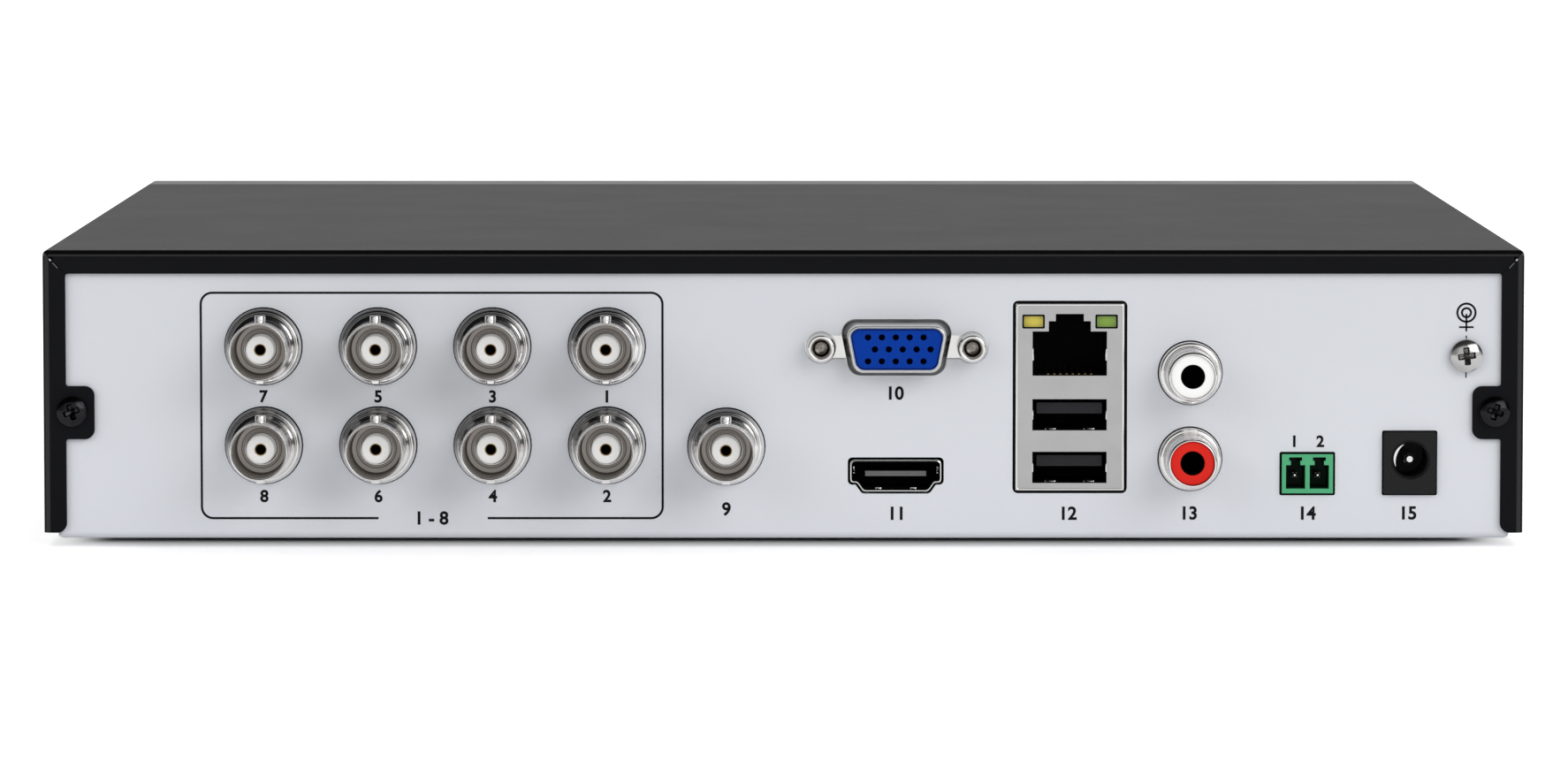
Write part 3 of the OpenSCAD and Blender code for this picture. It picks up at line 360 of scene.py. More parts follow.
# stroke: a flat line of that width along a path, offset half a width along each point's mitre
def stroke(path, width, z0, z1, closed=False):
    path = np.asarray(path, float)
    ahead = np.roll(path, -1, 0) - path
    ahead = ahead / np.maximum(np.linalg.norm(ahead, axis=1, keepdims=True), 1e-9)
    behind = np.roll(ahead, 1, 0)
    if not closed:
        ahead[-1], behind[0] = behind[-1], ahead[0]
    along = ahead + behind
    along /= np.linalg.norm(along, axis=1, keepdims=True)
    side = np.stack([along[:, 1], -along[:, 0]], -1)
    lean = np.maximum((side * np.stack([ahead[:, 1], -ahead[:, 0]], -1)).sum(1, keepdims=True), 0.4)
    offset = side * width / 2 / lean
    left, right = path - offset, path + offset
    ring = [atHeight(left, z0), atHeight(right, z0), atHeight(right, z1), atHeight(left, z1)]
    points = np.stack(ring, 1)
    columns = points.shape[1]
    faces = [f[::-1] for f in gridFaces(len(path), columns, closed, True)]
    if not closed:
        faces.append(list(range(columns)))
        faces.append(list(range(len(path) * columns - 1, (len(path) - 1) * columns - 1, -1)))
    return Surface().add(points, faces)


# tube of radius r along a path, its ring turned by parallel frames
def tube(path, r, sides=12):
    path = np.asarray(path, float)
    along = np.gradient(path, axis=0)
    along /= np.linalg.norm(along, axis=1, keepdims=True)
    helper = np.array([0.31, 0.17, 0.93])
    side = np.cross(along, helper)
    side /= np.linalg.norm(side, axis=1, keepdims=True)
    up = np.cross(side, along)
    turn = np.linspace(0, 2 * np.pi, sides, endpoint=False)[None, :, None]
    points = path[:, None] + r * (np.cos(turn) * side[:, None] - np.sin(turn) * up[:, None])
    return loft(points, closed=False)


# from the panel's own axes (x, height above the underside, distance out) to the frame's
def onPanel(x=0.0, up=0.0, out=0.0):
    def move(p):
        return np.stack([p[:, 0] + x, case["panelY"] - p[:, 2] - out, case["underZ"] + p[:, 1] + up], -1)
    return move


def shift(x, y, z):
    return lambda p: p + np.array([x, y, z], float)


def makePiece(name, surface, finish, slot=None, replaces=(), body="chassis", smooth=35, move=None):
    if move:
        surface = Surface().join(surface, move)
    data = bpy.data.meshes.new(name)
    data.from_pydata((surface.points * metre).tolist(), [], surface.faces)
    data.validate()
    data.polygons.foreach_set("use_smooth", [smooth > 0] * len(data.polygons))
    if smooth > 0:
        data.set_sharp_from_angle(angle=math.radians(smooth))
    data.materials.append(finish.block)
    data.update()
    piece = bpy.data.objects.new(name, data)
    bpy.context.scene.collection.objects.link(piece)
    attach(piece, body)
    if replaces:
        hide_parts(*replaces)


print("tools ready")

# world, floor and lamps

studio = {
    "ambient": 0.64,       # light from all round for matt surfaces
    "frontGloss": 0.78,    # what polished surfaces see towards the camera and beside it
    "backGloss": 0.76,     # what they see behind the object
    "darkGloss": 0.03,     # dark drapes at the sides and overhead
    "drapeLean": 0.95,     # how much further forward the drape hangs overhead than at the sides
    "leftShade": 0.55,     # share of the front light that is missing on the left
    "floorGloss": 0.35,    # share of the floor's lift that polished surfaces see
    "floorSize": 14.0,
    "floorColour": (0.82, 0.82, 0.83),
    # painted shadows on the floor: nearShade lowers the lift in front of the object; in the underside's bounds
    # the lift is left out, so the floor's rendered shade shows under it
    "nearShade": 0.34,     # how much less of that lift there is right in front of the object
    "floorLift": 0.575,    # what the camera and polished metal see added to the floor
    "underside": (112.0, -96.0, 104.0, 8.0),  # the floor's dark part: half width, near, far, softness
    "nearFloor": (100.0, 126.0, -155.0, -100.0),  # the shaded floor: from and to in width, in depth
}
world = bpy.data.worlds.new("studioWorld")
bpy.context.scene.world = world
w = Finish("studioWorld", block=world)
direction = w.node("ShaderNodeSeparateXYZ", sockets={0: w.read("ShaderNodeTexCoord", output=0)})
dirX, dirY, dirZ = [Signal(w, out) for out in direction.outputs]
ahead = (-dirY - dirZ.most(0.0) * studio["drapeLean"]).step(0.05, 0.35)
behind = dirY.step(0.25, 0.6)
ahead = ahead * (1 - (-dirX).step(0.3, 0.75) * studio["leftShade"])
glossLight = (ahead * studio["frontGloss"]).most(behind * studio["backGloss"]).most(studio["darkGloss"])
rays = w.node("ShaderNodeLightPath")
seenRay, glossyRay, clearRay = [
    Signal(w, rays.outputs[n]) for n in ("Is Camera Ray", "Is Glossy Ray", "Is Transmission Ray")]
seenRay = seenRay.most(clearRay)
strength = seenRay + (1 - seenRay) * (glossyRay * glossLight + (1 - glossyRay) * studio["ambient"])
background = w.node("ShaderNodeBackground", sockets={0: (1.0, 1.0, 1.0), 1: strength})
worldEnd = w.node("ShaderNodeOutputWorld")
w.join(background.outputs[0], worldEnd.inputs[0])

floorLook = {"Base Color": studio["floorColour"], "Roughness": 0.9, "Specular IOR Level": 0.1}
floorFinish = Finish("floorPaper", floorLook)
paths = floorFinish.node("ShaderNodeLightPath")
seen = Signal(floorFinish, paths.outputs["Is Camera Ray"])
seenInGloss = Signal(floorFinish, paths.outputs["Is Glossy Ray"])
floorX, floorY = floorFinish.axes()[:2]
half, near, far, soft = studio["underside"]
# painted shadows: the lift is left out under the object, so its rendered shade shows there, and lowered in
# front of it
beforeFar = 1 - floorY.step(far, far + soft)
underObjectShadow = (1 - floorX.size().step(half, half + soft)) * floorY.step(near, near + soft) * beforeFar
x0, x1, y0, y1 = studio["nearFloor"]
nearObjectShadow = floorY.step(y0, y1) * beforeFar * (1 - floorX.size().step(x0, x1)) * studio["nearShade"]
lift = seen.most(seenInGloss * studio["floorGloss"]) * (1 - underObjectShadow) * (1 - nearObjectShadow) * studio["floorLift"]
glow = floorFinish.node("ShaderNodeEmission", sockets={0: (1, 1, 1), 1: lift})
both = floorFinish.node("ShaderNodeAddShader")
floorFinish.join(floorFinish.shader.outputs[0], both.inputs[0])
floorFinish.join(glow.outputs[0], both.inputs[1])
floorFinish.join(both.outputs[0], floorFinish.end.inputs[0])
half = studio["floorSize"] / 2
floorCorners = [(-half, -half, 0), (half, -half, 0), (half, half, 0), (-half, half, 0)]
floorData = bpy.data.meshes.new("floor")
floorData.from_pydata(floorCorners, [], [(0, 1, 2, 3)])
floorData.materials.append(floorFinish.block)
floor = bpy.data.objects.new("floor", floorData)
bpy.context.scene.collection.objects.link(floor)


# each lamp's place and size in metres, its power, and whether polished surfaces mirror it
lampLook = {
    "key": ((1.2, -1.5, 1.0), (1.6, 1.2), 9.4, True),
    "fill": ((-1.4, -1.3, 0.8), (1.4, 1.0), 4, False),
    "top": ((0.1, 0.9, 1.3), (1.6, 0.6), 5, False),
}
lampTarget, lampSpread = (0, 0, 0.02), 150
for name, (place, size, power, glints) in lampLook.items():
    data = bpy.data.lights.new(name, "AREA")
    data.shape = "RECTANGLE"
    data.size, data.size_y = size
    data.energy = power
    data.spread = math.radians(lampSpread)
    lamp = bpy.data.objects.new(name, data)
    bpy.context.scene.collection.objects.link(lamp)
    lamp.location = place
    aim = Vector(lampTarget) - Vector(place)
    lamp.rotation_euler = aim.to_track_quat("-Z", "Y").to_euler()
    lamp.visible_glossy = glints
print("stage and lamps set")

# finishes

# pale powder paint: a low orange peel, a faint cloudiness, and a painted bounce light that makes it a little
# lighter towards its lower edge
def makePanelPaint():
    look = {"lift": 1.07, "heights": (4.0, 42.0)}
    f = Finish("panelPaint", {"Coat Weight": 0.0})
    cloud = f.noise(60, 2)
    peel = f.noise(0.9, 2)
    height = f.axes()[2].step(*look["heights"])
    tone = f.mix(cloud, (0.675, 0.695, 0.74), (0.71, 0.73, 0.765))
    # painted light: the colour is lifted towards the lower edge, standing in for light bounced up from the
    # floor
    f.feed("Base Color", f.mix(height, f.vector("MULTIPLY", tone, [look["lift"]] * 3), tone))
    f.feed("Roughness", 0.42 + peel * 0.1 + cloud * 0.05)
    return f.bump(peel, 0.02)


# black powder coat: beads of paint about half a millimetre across, flowed smooth over the rear bends,
# where it is glossier and its colour is darkened to a painted shade line; at the sides only over the bends'
# rear part
def makeCoverPaint():
    look = {"top": (48.3, 48.5), "side": (121.3, 121.5), "rear": (-100.5, -100.3),
            "sideGloss": (-101.2, -100.95)}
    f = Finish("coverPaint", {"Specular IOR Level": 0.07, "Coat Roughness": 0.12})
    x, y, z = f.axes()
    topBend, sideBend = z.step(*look["top"]), x.size().step(*look["side"])
    bendGlossAndShade = topBend.most(sideBend) * (1 - y.step(*look["rear"]))
    f.feed("Coat Weight", topBend.most(0.8 - y.step(*look["sideGloss"])) * bendGlossAndShade * 0.9)
    beads = f.cells(0.6)
    fine = f.noise(0.3, 2)
    cloud = f.noise(25, 3)
    paint = f.mix(cloud, (0.0034, 0.0036, 0.0046), (0.0056, 0.0058, 0.0072))
    # painted shade: over the bends the colour is darkened to a dark line along the rear edges
    f.feed("Base Color", f.mix(bendGlossAndShade, paint, (0.0006, 0.0006, 0.0008)))
    f.feed("Roughness", 0.34 + fine * 0.12 + cloud * 0.06)
    return f.bump(beads * 0.7 + fine * 0.3, 0.06)


def makeInk():
    f = Finish("printInk", {"Specular IOR Level": 0.1})
    grain = f.noise(0.25, 2)
    f.feed("Base Color", f.mix(grain, (0.003, 0.003, 0.004), (0.008, 0.008, 0.009)))
    f.feed("Roughness", 0.45 + grain * 0.15)
    return f


# turned metal: fine rings along the turning axis; with a painted dark reflection, the upper left of each
# round socket's skirt is darker, told by the place in its cell of the grid
def makeTurned(name, colour, roughness, ring, depth, dull=0.85, paintedDarkReflection=0.0):
    f = Finish(name, {"Metallic": 1.0})
    x, y, z = f.axes()
    along = f.read("ShaderNodeTexNoise", {"noise_dimensions": "1D"}, {"W": y / ring, "Detail": 3.0})
    patch = f.noise(3.5, 3)
    tone = f.mix(patch, shade(colour, dull), colour)
    if paintedDarkReflection > 0:
        wide, high = socketGrid["pitch"], socketGrid["rise"]
        low = case["underZ"] + socketGrid["low"]
        across = f.maths("FLOORED_MODULO", x + (wide / 2 - socketGrid["x"]), wide) - wide / 2
        above = f.maths("FLOORED_MODULO", z - (low - high / 2), high) - high / 2
        lean = above * 0.9 - across * 0.42
        rough = f.noise(1.1, 3)
        skirt = (y - case["panelY"] + 6.6).step(-0.6, 0.6)
        # painted reflection: the upper left of the skirt is darkened, standing in for a dark reflection from
        # above
        tone = f.mix((lean + rough * 1.6).step(-1.2, 5.4) * skirt * paintedDarkReflection, tone, shade(colour, 0.05))
    f.feed("Base Color", tone)
    f.feed("Roughness", along * 0.12 + patch * 0.08 + (roughness - 0.1))
    return f.bump(along, depth)


# drawn shell: plated, with a painted shade, nearly black, over the band where the drawn fillet turns away from
# the panel
def makeShellPlate(name, colour, paintedShadeBand):
    f = Finish(name, {"Metallic": 1.0})
    out = case["panelY"] - f.axes()[1]
    dark = out.step(*paintedShadeBand[:2]) * (1 - out.step(*paintedShadeBand[2:]))
    patch = f.noise(4, 3)
    tone = f.mix(patch, shade(colour, 0.9), colour)
    # painted shade: the colour over that band goes nearly black
    f.feed("Base Color", f.mix(dark * (0.8 + patch * 0.2), tone, shade(colour, 0.03)))
    f.feed("Roughness", 0.12 + patch * 0.1)
    return f.bump(patch, 0.0008)


# board: solder mask with traces on a 45 degree grid, plated holes and pads
def makeBoard(name, mask, trace):
    f = Finish(name)
    x, y = f.axes()[:2]
    pick = f.node("ShaderNodeSeparateColor", sockets={0: f.cells(7.0, "Color")})
    red, green = Signal(f, pick.outputs[0]), Signal(f, pick.outputs[1])
    straight = (x.fromMiddle(0.9) < 0.17) * (red > 0.5) + (y.fromMiddle(0.9) < 0.17) * (red < 0.32)
    slanted = ((x + y).fromMiddle(1.3) < 0.2) * (green > 0.72)
    copper = f.maths("MINIMUM", straight + slanted, 1.0) * (f.noise(11, 1) > 0.42)
    across, deep = x.fromMiddle(3.1), y.fromMiddle(2.7)
    reach = across * across + deep * deep
    hole = reach < 0.075
    ringed = (reach < 0.21) * (1 - hole) * (green > 0.45)
    cloud = f.noise(14, 3)
    base = f.mix(cloud, shade(mask, 0.85), shade(mask, 1.15))
    base = f.mix(copper * 0.75, base, trace)
    base = f.mix(ringed, base, (0.72, 0.66, 0.5))
    base = f.mix(hole * (green > 0.45), base, (0.01, 0.01, 0.01))
    f.feed("Base Color", base)
    f.feed("Metallic", ringed * 0.9)
    f.feed("Roughness", 0.3 + cloud * 0.12)
    return f.bump(copper + ringed, 0.035)


# chip package: matt epoxy with mould grain
def makeEpoxy():
    f = Finish("chipEpoxy")
    grain = f.noise(0.25, 3)
    cloud = f.noise(6, 3)
    f.feed("Base Color", f.mix(cloud, (0.012, 0.012, 0.013), (0.024, 0.024, 0.026)))
    f.feed("Roughness", 0.5 + grain * 0.2)
    return f.bump(grain, 0.02)


# header plastic: a painted shade, much darker, where it lies further in than its face
def makeHeader(name, colour, depth):
    f = Finish(name, {"Specular IOR Level": 0.15})
    inside = (f.axes()[1] - case["panelY"] + 0.5).step(0.1, depth)
    cloud = f.noise(4, 3)
    tone = f.mix(cloud, shade(colour, 0.94), shade(colour, 1.06))
    # painted shade in the header's chambers
    f.feed("Base Color", f.mix(inside, tone, shade(colour, 0.12)))
    f.feed("Roughness", 0.36 + cloud * 0.1)
    return f.bump(f.noise(0.4, 2), 0.004)


# the picture socket's tongue: a painted light on its front end, which is lighter, and painted shade elsewhere,
# which is dark
def makeTongue(name, front, rest):
    f = Finish(name, {"Specular IOR Level": 0.15})
    parts = f.node("ShaderNodeSeparateXYZ", sockets={0: f.read("ShaderNodeNewGeometry", output=1)})
    facing = (-Signal(f, parts.outputs[1])).step(0.6, 0.8)
    cloud = f.noise(1.5, 3)
    # painted light and shade: faces turned to the front are lighter, the rest dark
    f.feed("Base Color", f.mix(facing, rest, f.mix(cloud, shade(front, 0.85), shade(front, 1.15))))
    f.feed("Roughness", 0.42 + cloud * 0.12)
    return f.bump(cloud, 0.004)


# smoked window: nearly black, with a dim spot over each light pipe and a faint printed border
def makeWindow():
    look = {"lamps": (64.0, 78.0, 92.0), "radius": 1.6, "middle": (78.0, 25.5), "half": (24.6, 8.7),
            "glow": ((0.02, 0.30, 0.05), (0.10, 0.06, 0.01), (0.01, 0.05, 0.16))}
    spotEnds = [share * look["radius"] ** 2 for share in (0.6, 1.4)]
    f = Finish("smokedWindow", {"Coat Weight": 0.6, "Emission Strength": 0.7, "Specular IOR Level": 0.35})
    x, y, z = f.axes()
    cloud = f.noise(12, 2)
    up = z - look["middle"][1]
    tone = f.mix(cloud, (0.006, 0.004, 0.005), (0.012, 0.009, 0.010))
    glow = (0.0, 0.0, 0.0)
    for lampX, colour in zip(look["lamps"], look["glow"]):
        side = x - lampX
        glow = f.mix(1 - (side * side + up * up).step(*spotEnds), glow, colour)
    edgeX = (x - look["middle"][0]).size() - look["half"][0]
    edgeZ = up.size() - look["half"][1]
    border = 1 - edgeX.most(edgeZ).size().step(0.12, 0.22)
    f.feed("Base Color", f.mix(border * 0.8, tone, (0.16, 0.16, 0.17)))
    f.feed("Emission Color", glow)
    f.feed("Roughness", 0.1 + cloud * 0.08)
    return f.bump(cloud, 0.001)


# indicator lens: deep colour at the rim and a painted glow towards its middle, standing in for the light of
# the lamp behind it
def makeLens(name, colour, middle, glow):
    f = Finish(name, {"Emission Strength": glow, "Coat Weight": 0.4})
    x, y, z = f.axes()
    dx, dz = (x - middle[0]) / 1.75, (z - middle[1]) / 1.05
    edge = f.maths("MINIMUM", dx * dx + dz * dz, 1.0)
    haze = f.noise(0.8, 3)
    # painted glow: lighter and faintly emitting towards the middle
    tone = f.mix(edge * 0.8 + haze * 0.2, shade(colour, 1.25), shade(colour, 0.55))
    f.feed("Base Color", tone)
    f.feed("Emission Color", tone)
    f.feed("Roughness", 0.12 + haze * 0.12)
    return f.bump(haze, 0.01)


# finishes that several pieces share
printInk = makeInk()
nickel = makeTurned("turnedNickel", (0.86, 0.84, 0.82), 0.16, 0.5, 0.0002, 0.94)
# the round sockets' nickel, with the painted dark reflection on the upper left of their skirts
socketNickel = makeTurned("socketNickel", (0.90, 0.88, 0.86), 0.17, 0.5, 0.0003, 0.94, 0.82)
# dull nickel for the sockets' bores and the posts' cups: rougher, and darkened to a painted shade
shadedDullNickel = makeTurned("dullNickelShaded", (0.29, 0.265, 0.245), 0.32, 0.3, 0.002)
# the drawn shells' plating, its painted shade band from 0.26 to 2.4 mm out from the panel
shellPlate = makeShellPlate("shellPlate", (0.84, 0.83, 0.81), (0.26, 0.42, 1.5, 2.4))
plated = metal("platedSteel", (0.82, 0.81, 0.79), 0.15, 0.6, depth=0.0008, dull=0.92)
gold = metal("goldPlate", (0.85, 0.58, 0.24), 0.25, 0.4)
# gold darkened to a painted shade, for contacts that lie deep inside their sockets
shadedGold = metal("shadedGold", (0.30, 0.19, 0.07), 0.3, 0.4)
# bright steel for the painted glint in the cover's relief holes
glintSteel = metal("glintSteel", (0.56, 0.56, 0.55), 0.2, 0.4, depth=0.001)
blackScrew = metal("blackScrews", (0.026, 0.026, 0.028), 0.17, 0.3, depth=0.001)
# dim steel for the painted crease highlights beside the cover's seams
creaseHighlightSteel = metal("creaseHighlightSteel", (0.16, 0.16, 0.165), 0.3, 0.3, depth=0.001)
solder = metal("solder", (0.66, 0.66, 0.65), 0.3, 0.4, depth=0.004)
lowGloss = {"Specular IOR Level": 0.18}
# painted glow: the white cores give off a little light of their own, standing in for light bounced into their
# recesses
corePaintedGlow, phonoPaintedGlow = [{"Emission Color": (1, 1, 0.98), "Emission Strength": glow} for glow in (0.22, 0.1)]
coreWhite = plastic("coreWhite", (0.93, 0.93, 0.92), 0.38, 0.5, 0.003, 0.01, corePaintedGlow)
phonoWhite = plastic("phonoWhite", (0.90, 0.90, 0.89), 0.32, 0.5, 0.004, 0.02, phonoPaintedGlow)
phonoRed = plastic("phonoRed", (0.74, 0.022, 0.013), 0.34, 0.5, 0.004, 0.06, {"Specular IOR Level": 0.12})
blackPlastic = plastic("blackPlastic", (0.010, 0.010, 0.011), 0.42, 0.3, 0.008, fixed=lowGloss)
deepBlack = plastic("deepBlack", (0.0022,) * 3, 0.6, 0.3, 0.008, fixed={"Specular IOR Level": 0.06})
tanCeramic = plastic("tanCeramic", (0.36, 0.24, 0.14), 0.4, 0.4, 0.004)
labelPaper = plastic("labelPaper", (0.62, 0.62, 0.60), 0.5, 0.6, 0.006, 0.03)

# the model's own pieces
dress(makePanelPaint(), "chassis_pan")
dress(makeCoverPaint(), "top_cover")
dress(plastic("bezelPlastic", (0.012, 0.012, 0.014), 0.36, 0.4, 0.014), "front_bezel")
dress(makeWindow(), "front_window")
dress(plastic("lightPipe", (0.75, 0.76, 0.78), 0.15, 0.6, 0.003, 0.03), "light_pipes")
dress(makeBoard("mainBoard", (0.010, 0.085, 0.035), (0.02, 0.17, 0.07)), "front_led_board", "main_board")
dress(plastic("footRubber", (0.012, 0.012, 0.012), 0.7, 0.5, 0.03), "rubber_feet")
dress(blackScrew, "cover_screws")
dress(metal("zincScrews", (0.72, 0.73, 0.74), 0.28, 0.3, depth=0.004), "ground_screw", "board_screws",
      "drive_screws", "fan_screws")
dress(metal("brassPosts", (0.72, 0.60, 0.36), 0.3, 0.4), "board_standoffs")
dress(makeEpoxy(), "board_chips")
dress(metal("finBlack", (0.045, 0.045, 0.05), 0.42, 0.4, (1, 8, 1), 0.006), "heat_sink")
dress(metal("canSleeve", (0.50, 0.51, 0.54), 0.35, 0.4, depth=0.004), "capacitors")
dress(blackPlastic, "battery_holder", "sata_headers", "bnc_blocks", "vga_riser", "rca_block", "dc_jack_body",
      "fan_frame", "fan_rotor")
dress(metal("cellSteel", (0.70, 0.70, 0.70), 0.3, 0.4, (6, 1, 1), 0.003), "coin_cell")
dress(nickel, *[f"bnc_shell_{k}" for k in range(1, 9)], "bnc_shell_audio", "rca_shells")
dress(coreWhite, "bnc_insulators")
dress(gold, "bnc_contacts")
dress(plated, "vga_shell", "vga_jackposts", "hdmi_shell", "dc_jack_pin")
# the header's pins darkened to a painted shade inside its chambers; their tips are the bright headerPinTips
dress(metal("shadedPins", (0.07, 0.07, 0.07), 0.2, 0.3, depth=0.002), "rs485_pins")
dress(plastic("blueInsert", (0.001, 0.040, 0.33), 0.42, 0.4, 0.004, 0.06, {"Specular IOR Level": 0.07}),
      "vga_insulator")
dress(makeTongue("pictureTongue", (0.15, 0.15, 0.15), (0.012, 0.012, 0.012)), "hdmi_tongue")
dress(plastic("dataTongue", (0.019, 0.0195, 0.022), 0.45, 0.3, 0.004, fixed=lowGloss), "usb_tongues")
dress(metal("tinnedSteel", (0.52, 0.52, 0.52), 0.34, 0.35, (1, 1, 7), 0.002), "lan_usb_shield")
dress(deepBlack, "lan_insert")
# the network lamps' lenses, with their faint painted glow
dress(makeLens("yellowLens", (0.48, 0.40, 0.035), (41.36, 37.55), 0.05), "lan_led_yellow")
dress(makeLens("greenLens", (0.15, 0.27, 0.016), (53.44, 37.55), 0.05), "lan_led_green")
dress(phonoWhite, "rca_insulator_white")
dress(phonoRed, "rca_insulator_red")
dress(makeHeader("greenInsert", (0.09, 0.43, 0.205), 1.6), "rs485_header")
dress(metal("castAluminium", (0.56, 0.57, 0.59), 0.48, 0.9, depth=0.03, dull=0.8), "hdd_base")
dress(metal("stampedLid", (0.46, 0.46, 0.47), 0.42, 0.5, (8, 1, 1), 0.004), "hdd_cover", "head_arm")
dress(makeBoard("driveBoard", (0.008, 0.05, 0.13), (0.02, 0.10, 0.22)), "hdd_board")
dress(metal("diskMirror", (0.80, 0.81, 0.83), 0.10, 2.0, depth=0.0005), "disk_pack")
dress(plastic("redCord", (0.45, 0.02, 0.015), 0.4, 0.5, 0.01), "drive_cable")
dress(plastic("darkCord", (0.02, 0.02, 0.022), 0.42, 0.5, 0.01), "inner_leads")
print("finishes made")

# round sockets

roundSockets = {
    "audio": (-9.45, 15.3), "back": -6.0, "front": 13.0, "base": 6.3, "shoulder": 5.45, "barrel": 4.8,
    "neck": 4.6, "neckEnd": 9.0, "bore": 4.35, "floor": 4.05, "floorAt": 5.6, "core": 2.375, "coreFront": 8.5,
    "hole": 1.0, "contactBore": 0.84, "contactFront": 8.1, "shadowPlugAt": 4.6,
    "lugRadius": 0.9, "lugAt": 7.9, "lugReach": 5.62,
}
s = roundSockets
columns, heights = (3, 2, 1, 0), (socketGrid["low"] + socketGrid["rise"], socketGrid["low"])
videoPlaces = [(socketGrid["x"] + socketGrid["pitch"] * k, up) for k in columns for up in heights]
socketPlaces = {**{str(i + 1): p for i, p in enumerate(videoPlaces)}, "audio": s["audio"]}
back, front, base, shoulder = s["back"], s["front"], s["base"], s["shoulder"]
barrel, neck, bore, core, hole = s["barrel"], s["neck"], s["bore"], s["core"], s["hole"]
floorAt, coreFront, contactFront = s["floorAt"], s["coreFront"], s["contactFront"]

shellCorners = [
    (core + 0.3, back), (base, back), (base, 1.1), (base - 0.5, 1.8), (shoulder + 0.1, 1.8), (shoulder, 2.8),
    (neck, 3.3), (neck, s["neckEnd"]), (barrel, s["neckEnd"] + 0.1), (barrel, front - 0.3),
    (barrel - 0.15, front), (bore + 0.2, front), (bore, front - 0.35), (bore, floorAt - 0.2),
    (core + 0.3, floorAt - 0.2),
]
shellRounding = [0.1, 0.1, 0.45, 0.3, 0.2, 0.4, 0.3, 0.05, 0.08, 0.15, 0.1, 0.1, 0.12, 0.05, 0.05]
# the bore's lining and its turned floor, in a dull nickel that is rougher and also darkened, a painted shade
sleeveCorners = [
    (core + 0.05, -5.5), (bore - 0.01, -5.5), (bore - 0.01, front - 0.42), (bore - 0.07, front - 0.5),
    (bore - 0.09, floorAt + 0.5), (s["floor"], floorAt + 0.06), (3.3, floorAt), (3.24, floorAt - 0.12),
    (2.8, floorAt - 0.14), (2.72, floorAt - 0.5), (core + 0.05, floorAt - 0.52),
]
coreCorners = [
    (hole, back), (core, back), (core, coreFront), (hole + 0.05, coreFront), (hole, coreFront - 0.15),
]
# the hollow centre contact, closed far down, and a black plug at the far end of its bore, a painted shadow
inner, shadowPlugAt = s["contactBore"], s["shadowPlugAt"]
contactCorners = [
    (0.02, -3.0), (hole - 0.01, -3.0), (hole - 0.01, contactFront), (inner, contactFront), (inner, -2.6),
    (0.02, -2.6),
]
shadowPlugCorners = [
    (0.02, 2.0), (inner - 0.01, 2.0), (inner - 0.01, shadowPlugAt), (0.3, shadowPlugAt - 0.3), (0.02, shadowPlugAt - 0.35),
]
# lug: a stub standing on the barrel, its end rounded
wide, reach = s["lugRadius"], s["lugReach"]
lugCorners = [(wide, 4.4), (wide, reach - 0.2), (wide - 0.06, reach - 0.06), (wide - 0.2, reach)]
lug = lathe(lugCorners, 32, closed=False)


def lugMove(side):
    return lambda p: np.stack([p[:, 0], side * p[:, 2], side * -p[:, 1] + roundSockets["lugAt"]], -1)


for name, place in socketPlaces.items():
    shell = lathe(soften(shellCorners, shellRounding, 4), 112)
    for side in (-1, 1):
        shell.join(lug, lugMove(side))
    makePiece("bayonetShell_" + name, shell, socketNickel, "nickel", ["bnc_shell_" + name],
              move=onPanel(*place))
# each profile is turned once for every socket
for name, profile, sides, look in (
        ("bayonetSleeves", soften(sleeveCorners, 0.08, 3), 96, (shadedDullNickel, "nickel")),
        ("bayonetContacts", soften(contactCorners, 0.04, 2), 40, (shadedGold, "gold_contact", ["bnc_contacts"])),
        ("contactShadowPlugs", shadowPlugCorners, 40, (deepBlack, "black_plastic")),
        ("bayonetCores", soften(coreCorners, [0.1, 0.1, 0.3, 0.08, 0.08], 4), 80,
         (coreWhite, "white_plastic", ["bnc_insulators"]))):
    turned = Surface()
    for place in socketPlaces.values():
        turned.join(lathe(profile, sides), onPanel(*place))
    makePiece(name, turned, *look)
print("round sockets made")

# phono sockets: shells, coloured cores and black liners in the bores inside them, a painted shade
phono = {"x": 67.32, "white": 27.52, "red": 13.24, "base": 5.2, "shoulder": 4.45, "barrel": 4.15, "core": 3.6,
         "front": 9.0, "bore": 2.0}
base, shoulder, barrel, core, bore = [phono[k] for k in ("base", "shoulder", "barrel", "core", "bore")]
front = phono["front"]
phonoShell = [
    (core + 0.04, -5), (base, -5), (base, 1.0), (base - 0.35, 1.4), (shoulder, 1.4), (shoulder, 2.3),
    (barrel, 2.6), (barrel, front - 0.4), (barrel - 0.3, front), (core + 0.06, front),
    (core + 0.04, front - 0.25),
]
phonoRounding = [0.1, 0.1, 0.3, 0.2, 0.15, 0.35, 0.2, 0.3, 0.25, 0.06, 0.05]
phonoCore = [(bore, -5), (core, -5), (core, 8.6), (bore + 0.1, 8.6), (bore, 8.5)]
phonoBoreShade = [
    (0.02, -0.9), (bore - 0.01, -0.9), (bore - 0.01, 8.3), (bore - 0.15, 8.3), (bore - 0.2, -0.6),
    (0.02, -0.6),
]
shells, boreShades = Surface(), Surface()
for name in ("white", "red"):
    shells.join(lathe(soften(phonoShell, phonoRounding, 4), 96), onPanel(phono["x"], phono[name]))
    boreShades.join(lathe(phonoBoreShade, 48), onPanel(phono["x"], phono[name]))
makePiece("phonoShells", shells, nickel, "nickel", ["rca_shells"])
makePiece("phonoBoreShades", boreShades, deepBlack, "black_plastic")
turned = lathe(soften(phonoCore, [0.1, 0.1, 0.25, 0.1, 0.08], 4), 80)
for name, finish in (("white", phonoWhite), ("red", phonoRed)):
    makePiece("phonoCore_" + name, turned, finish, name + "_plastic", ["rca_insulator_" + name],
              move=onPanel(phono["x"], phono[name]))
print("phono sockets made")

# monitor socket

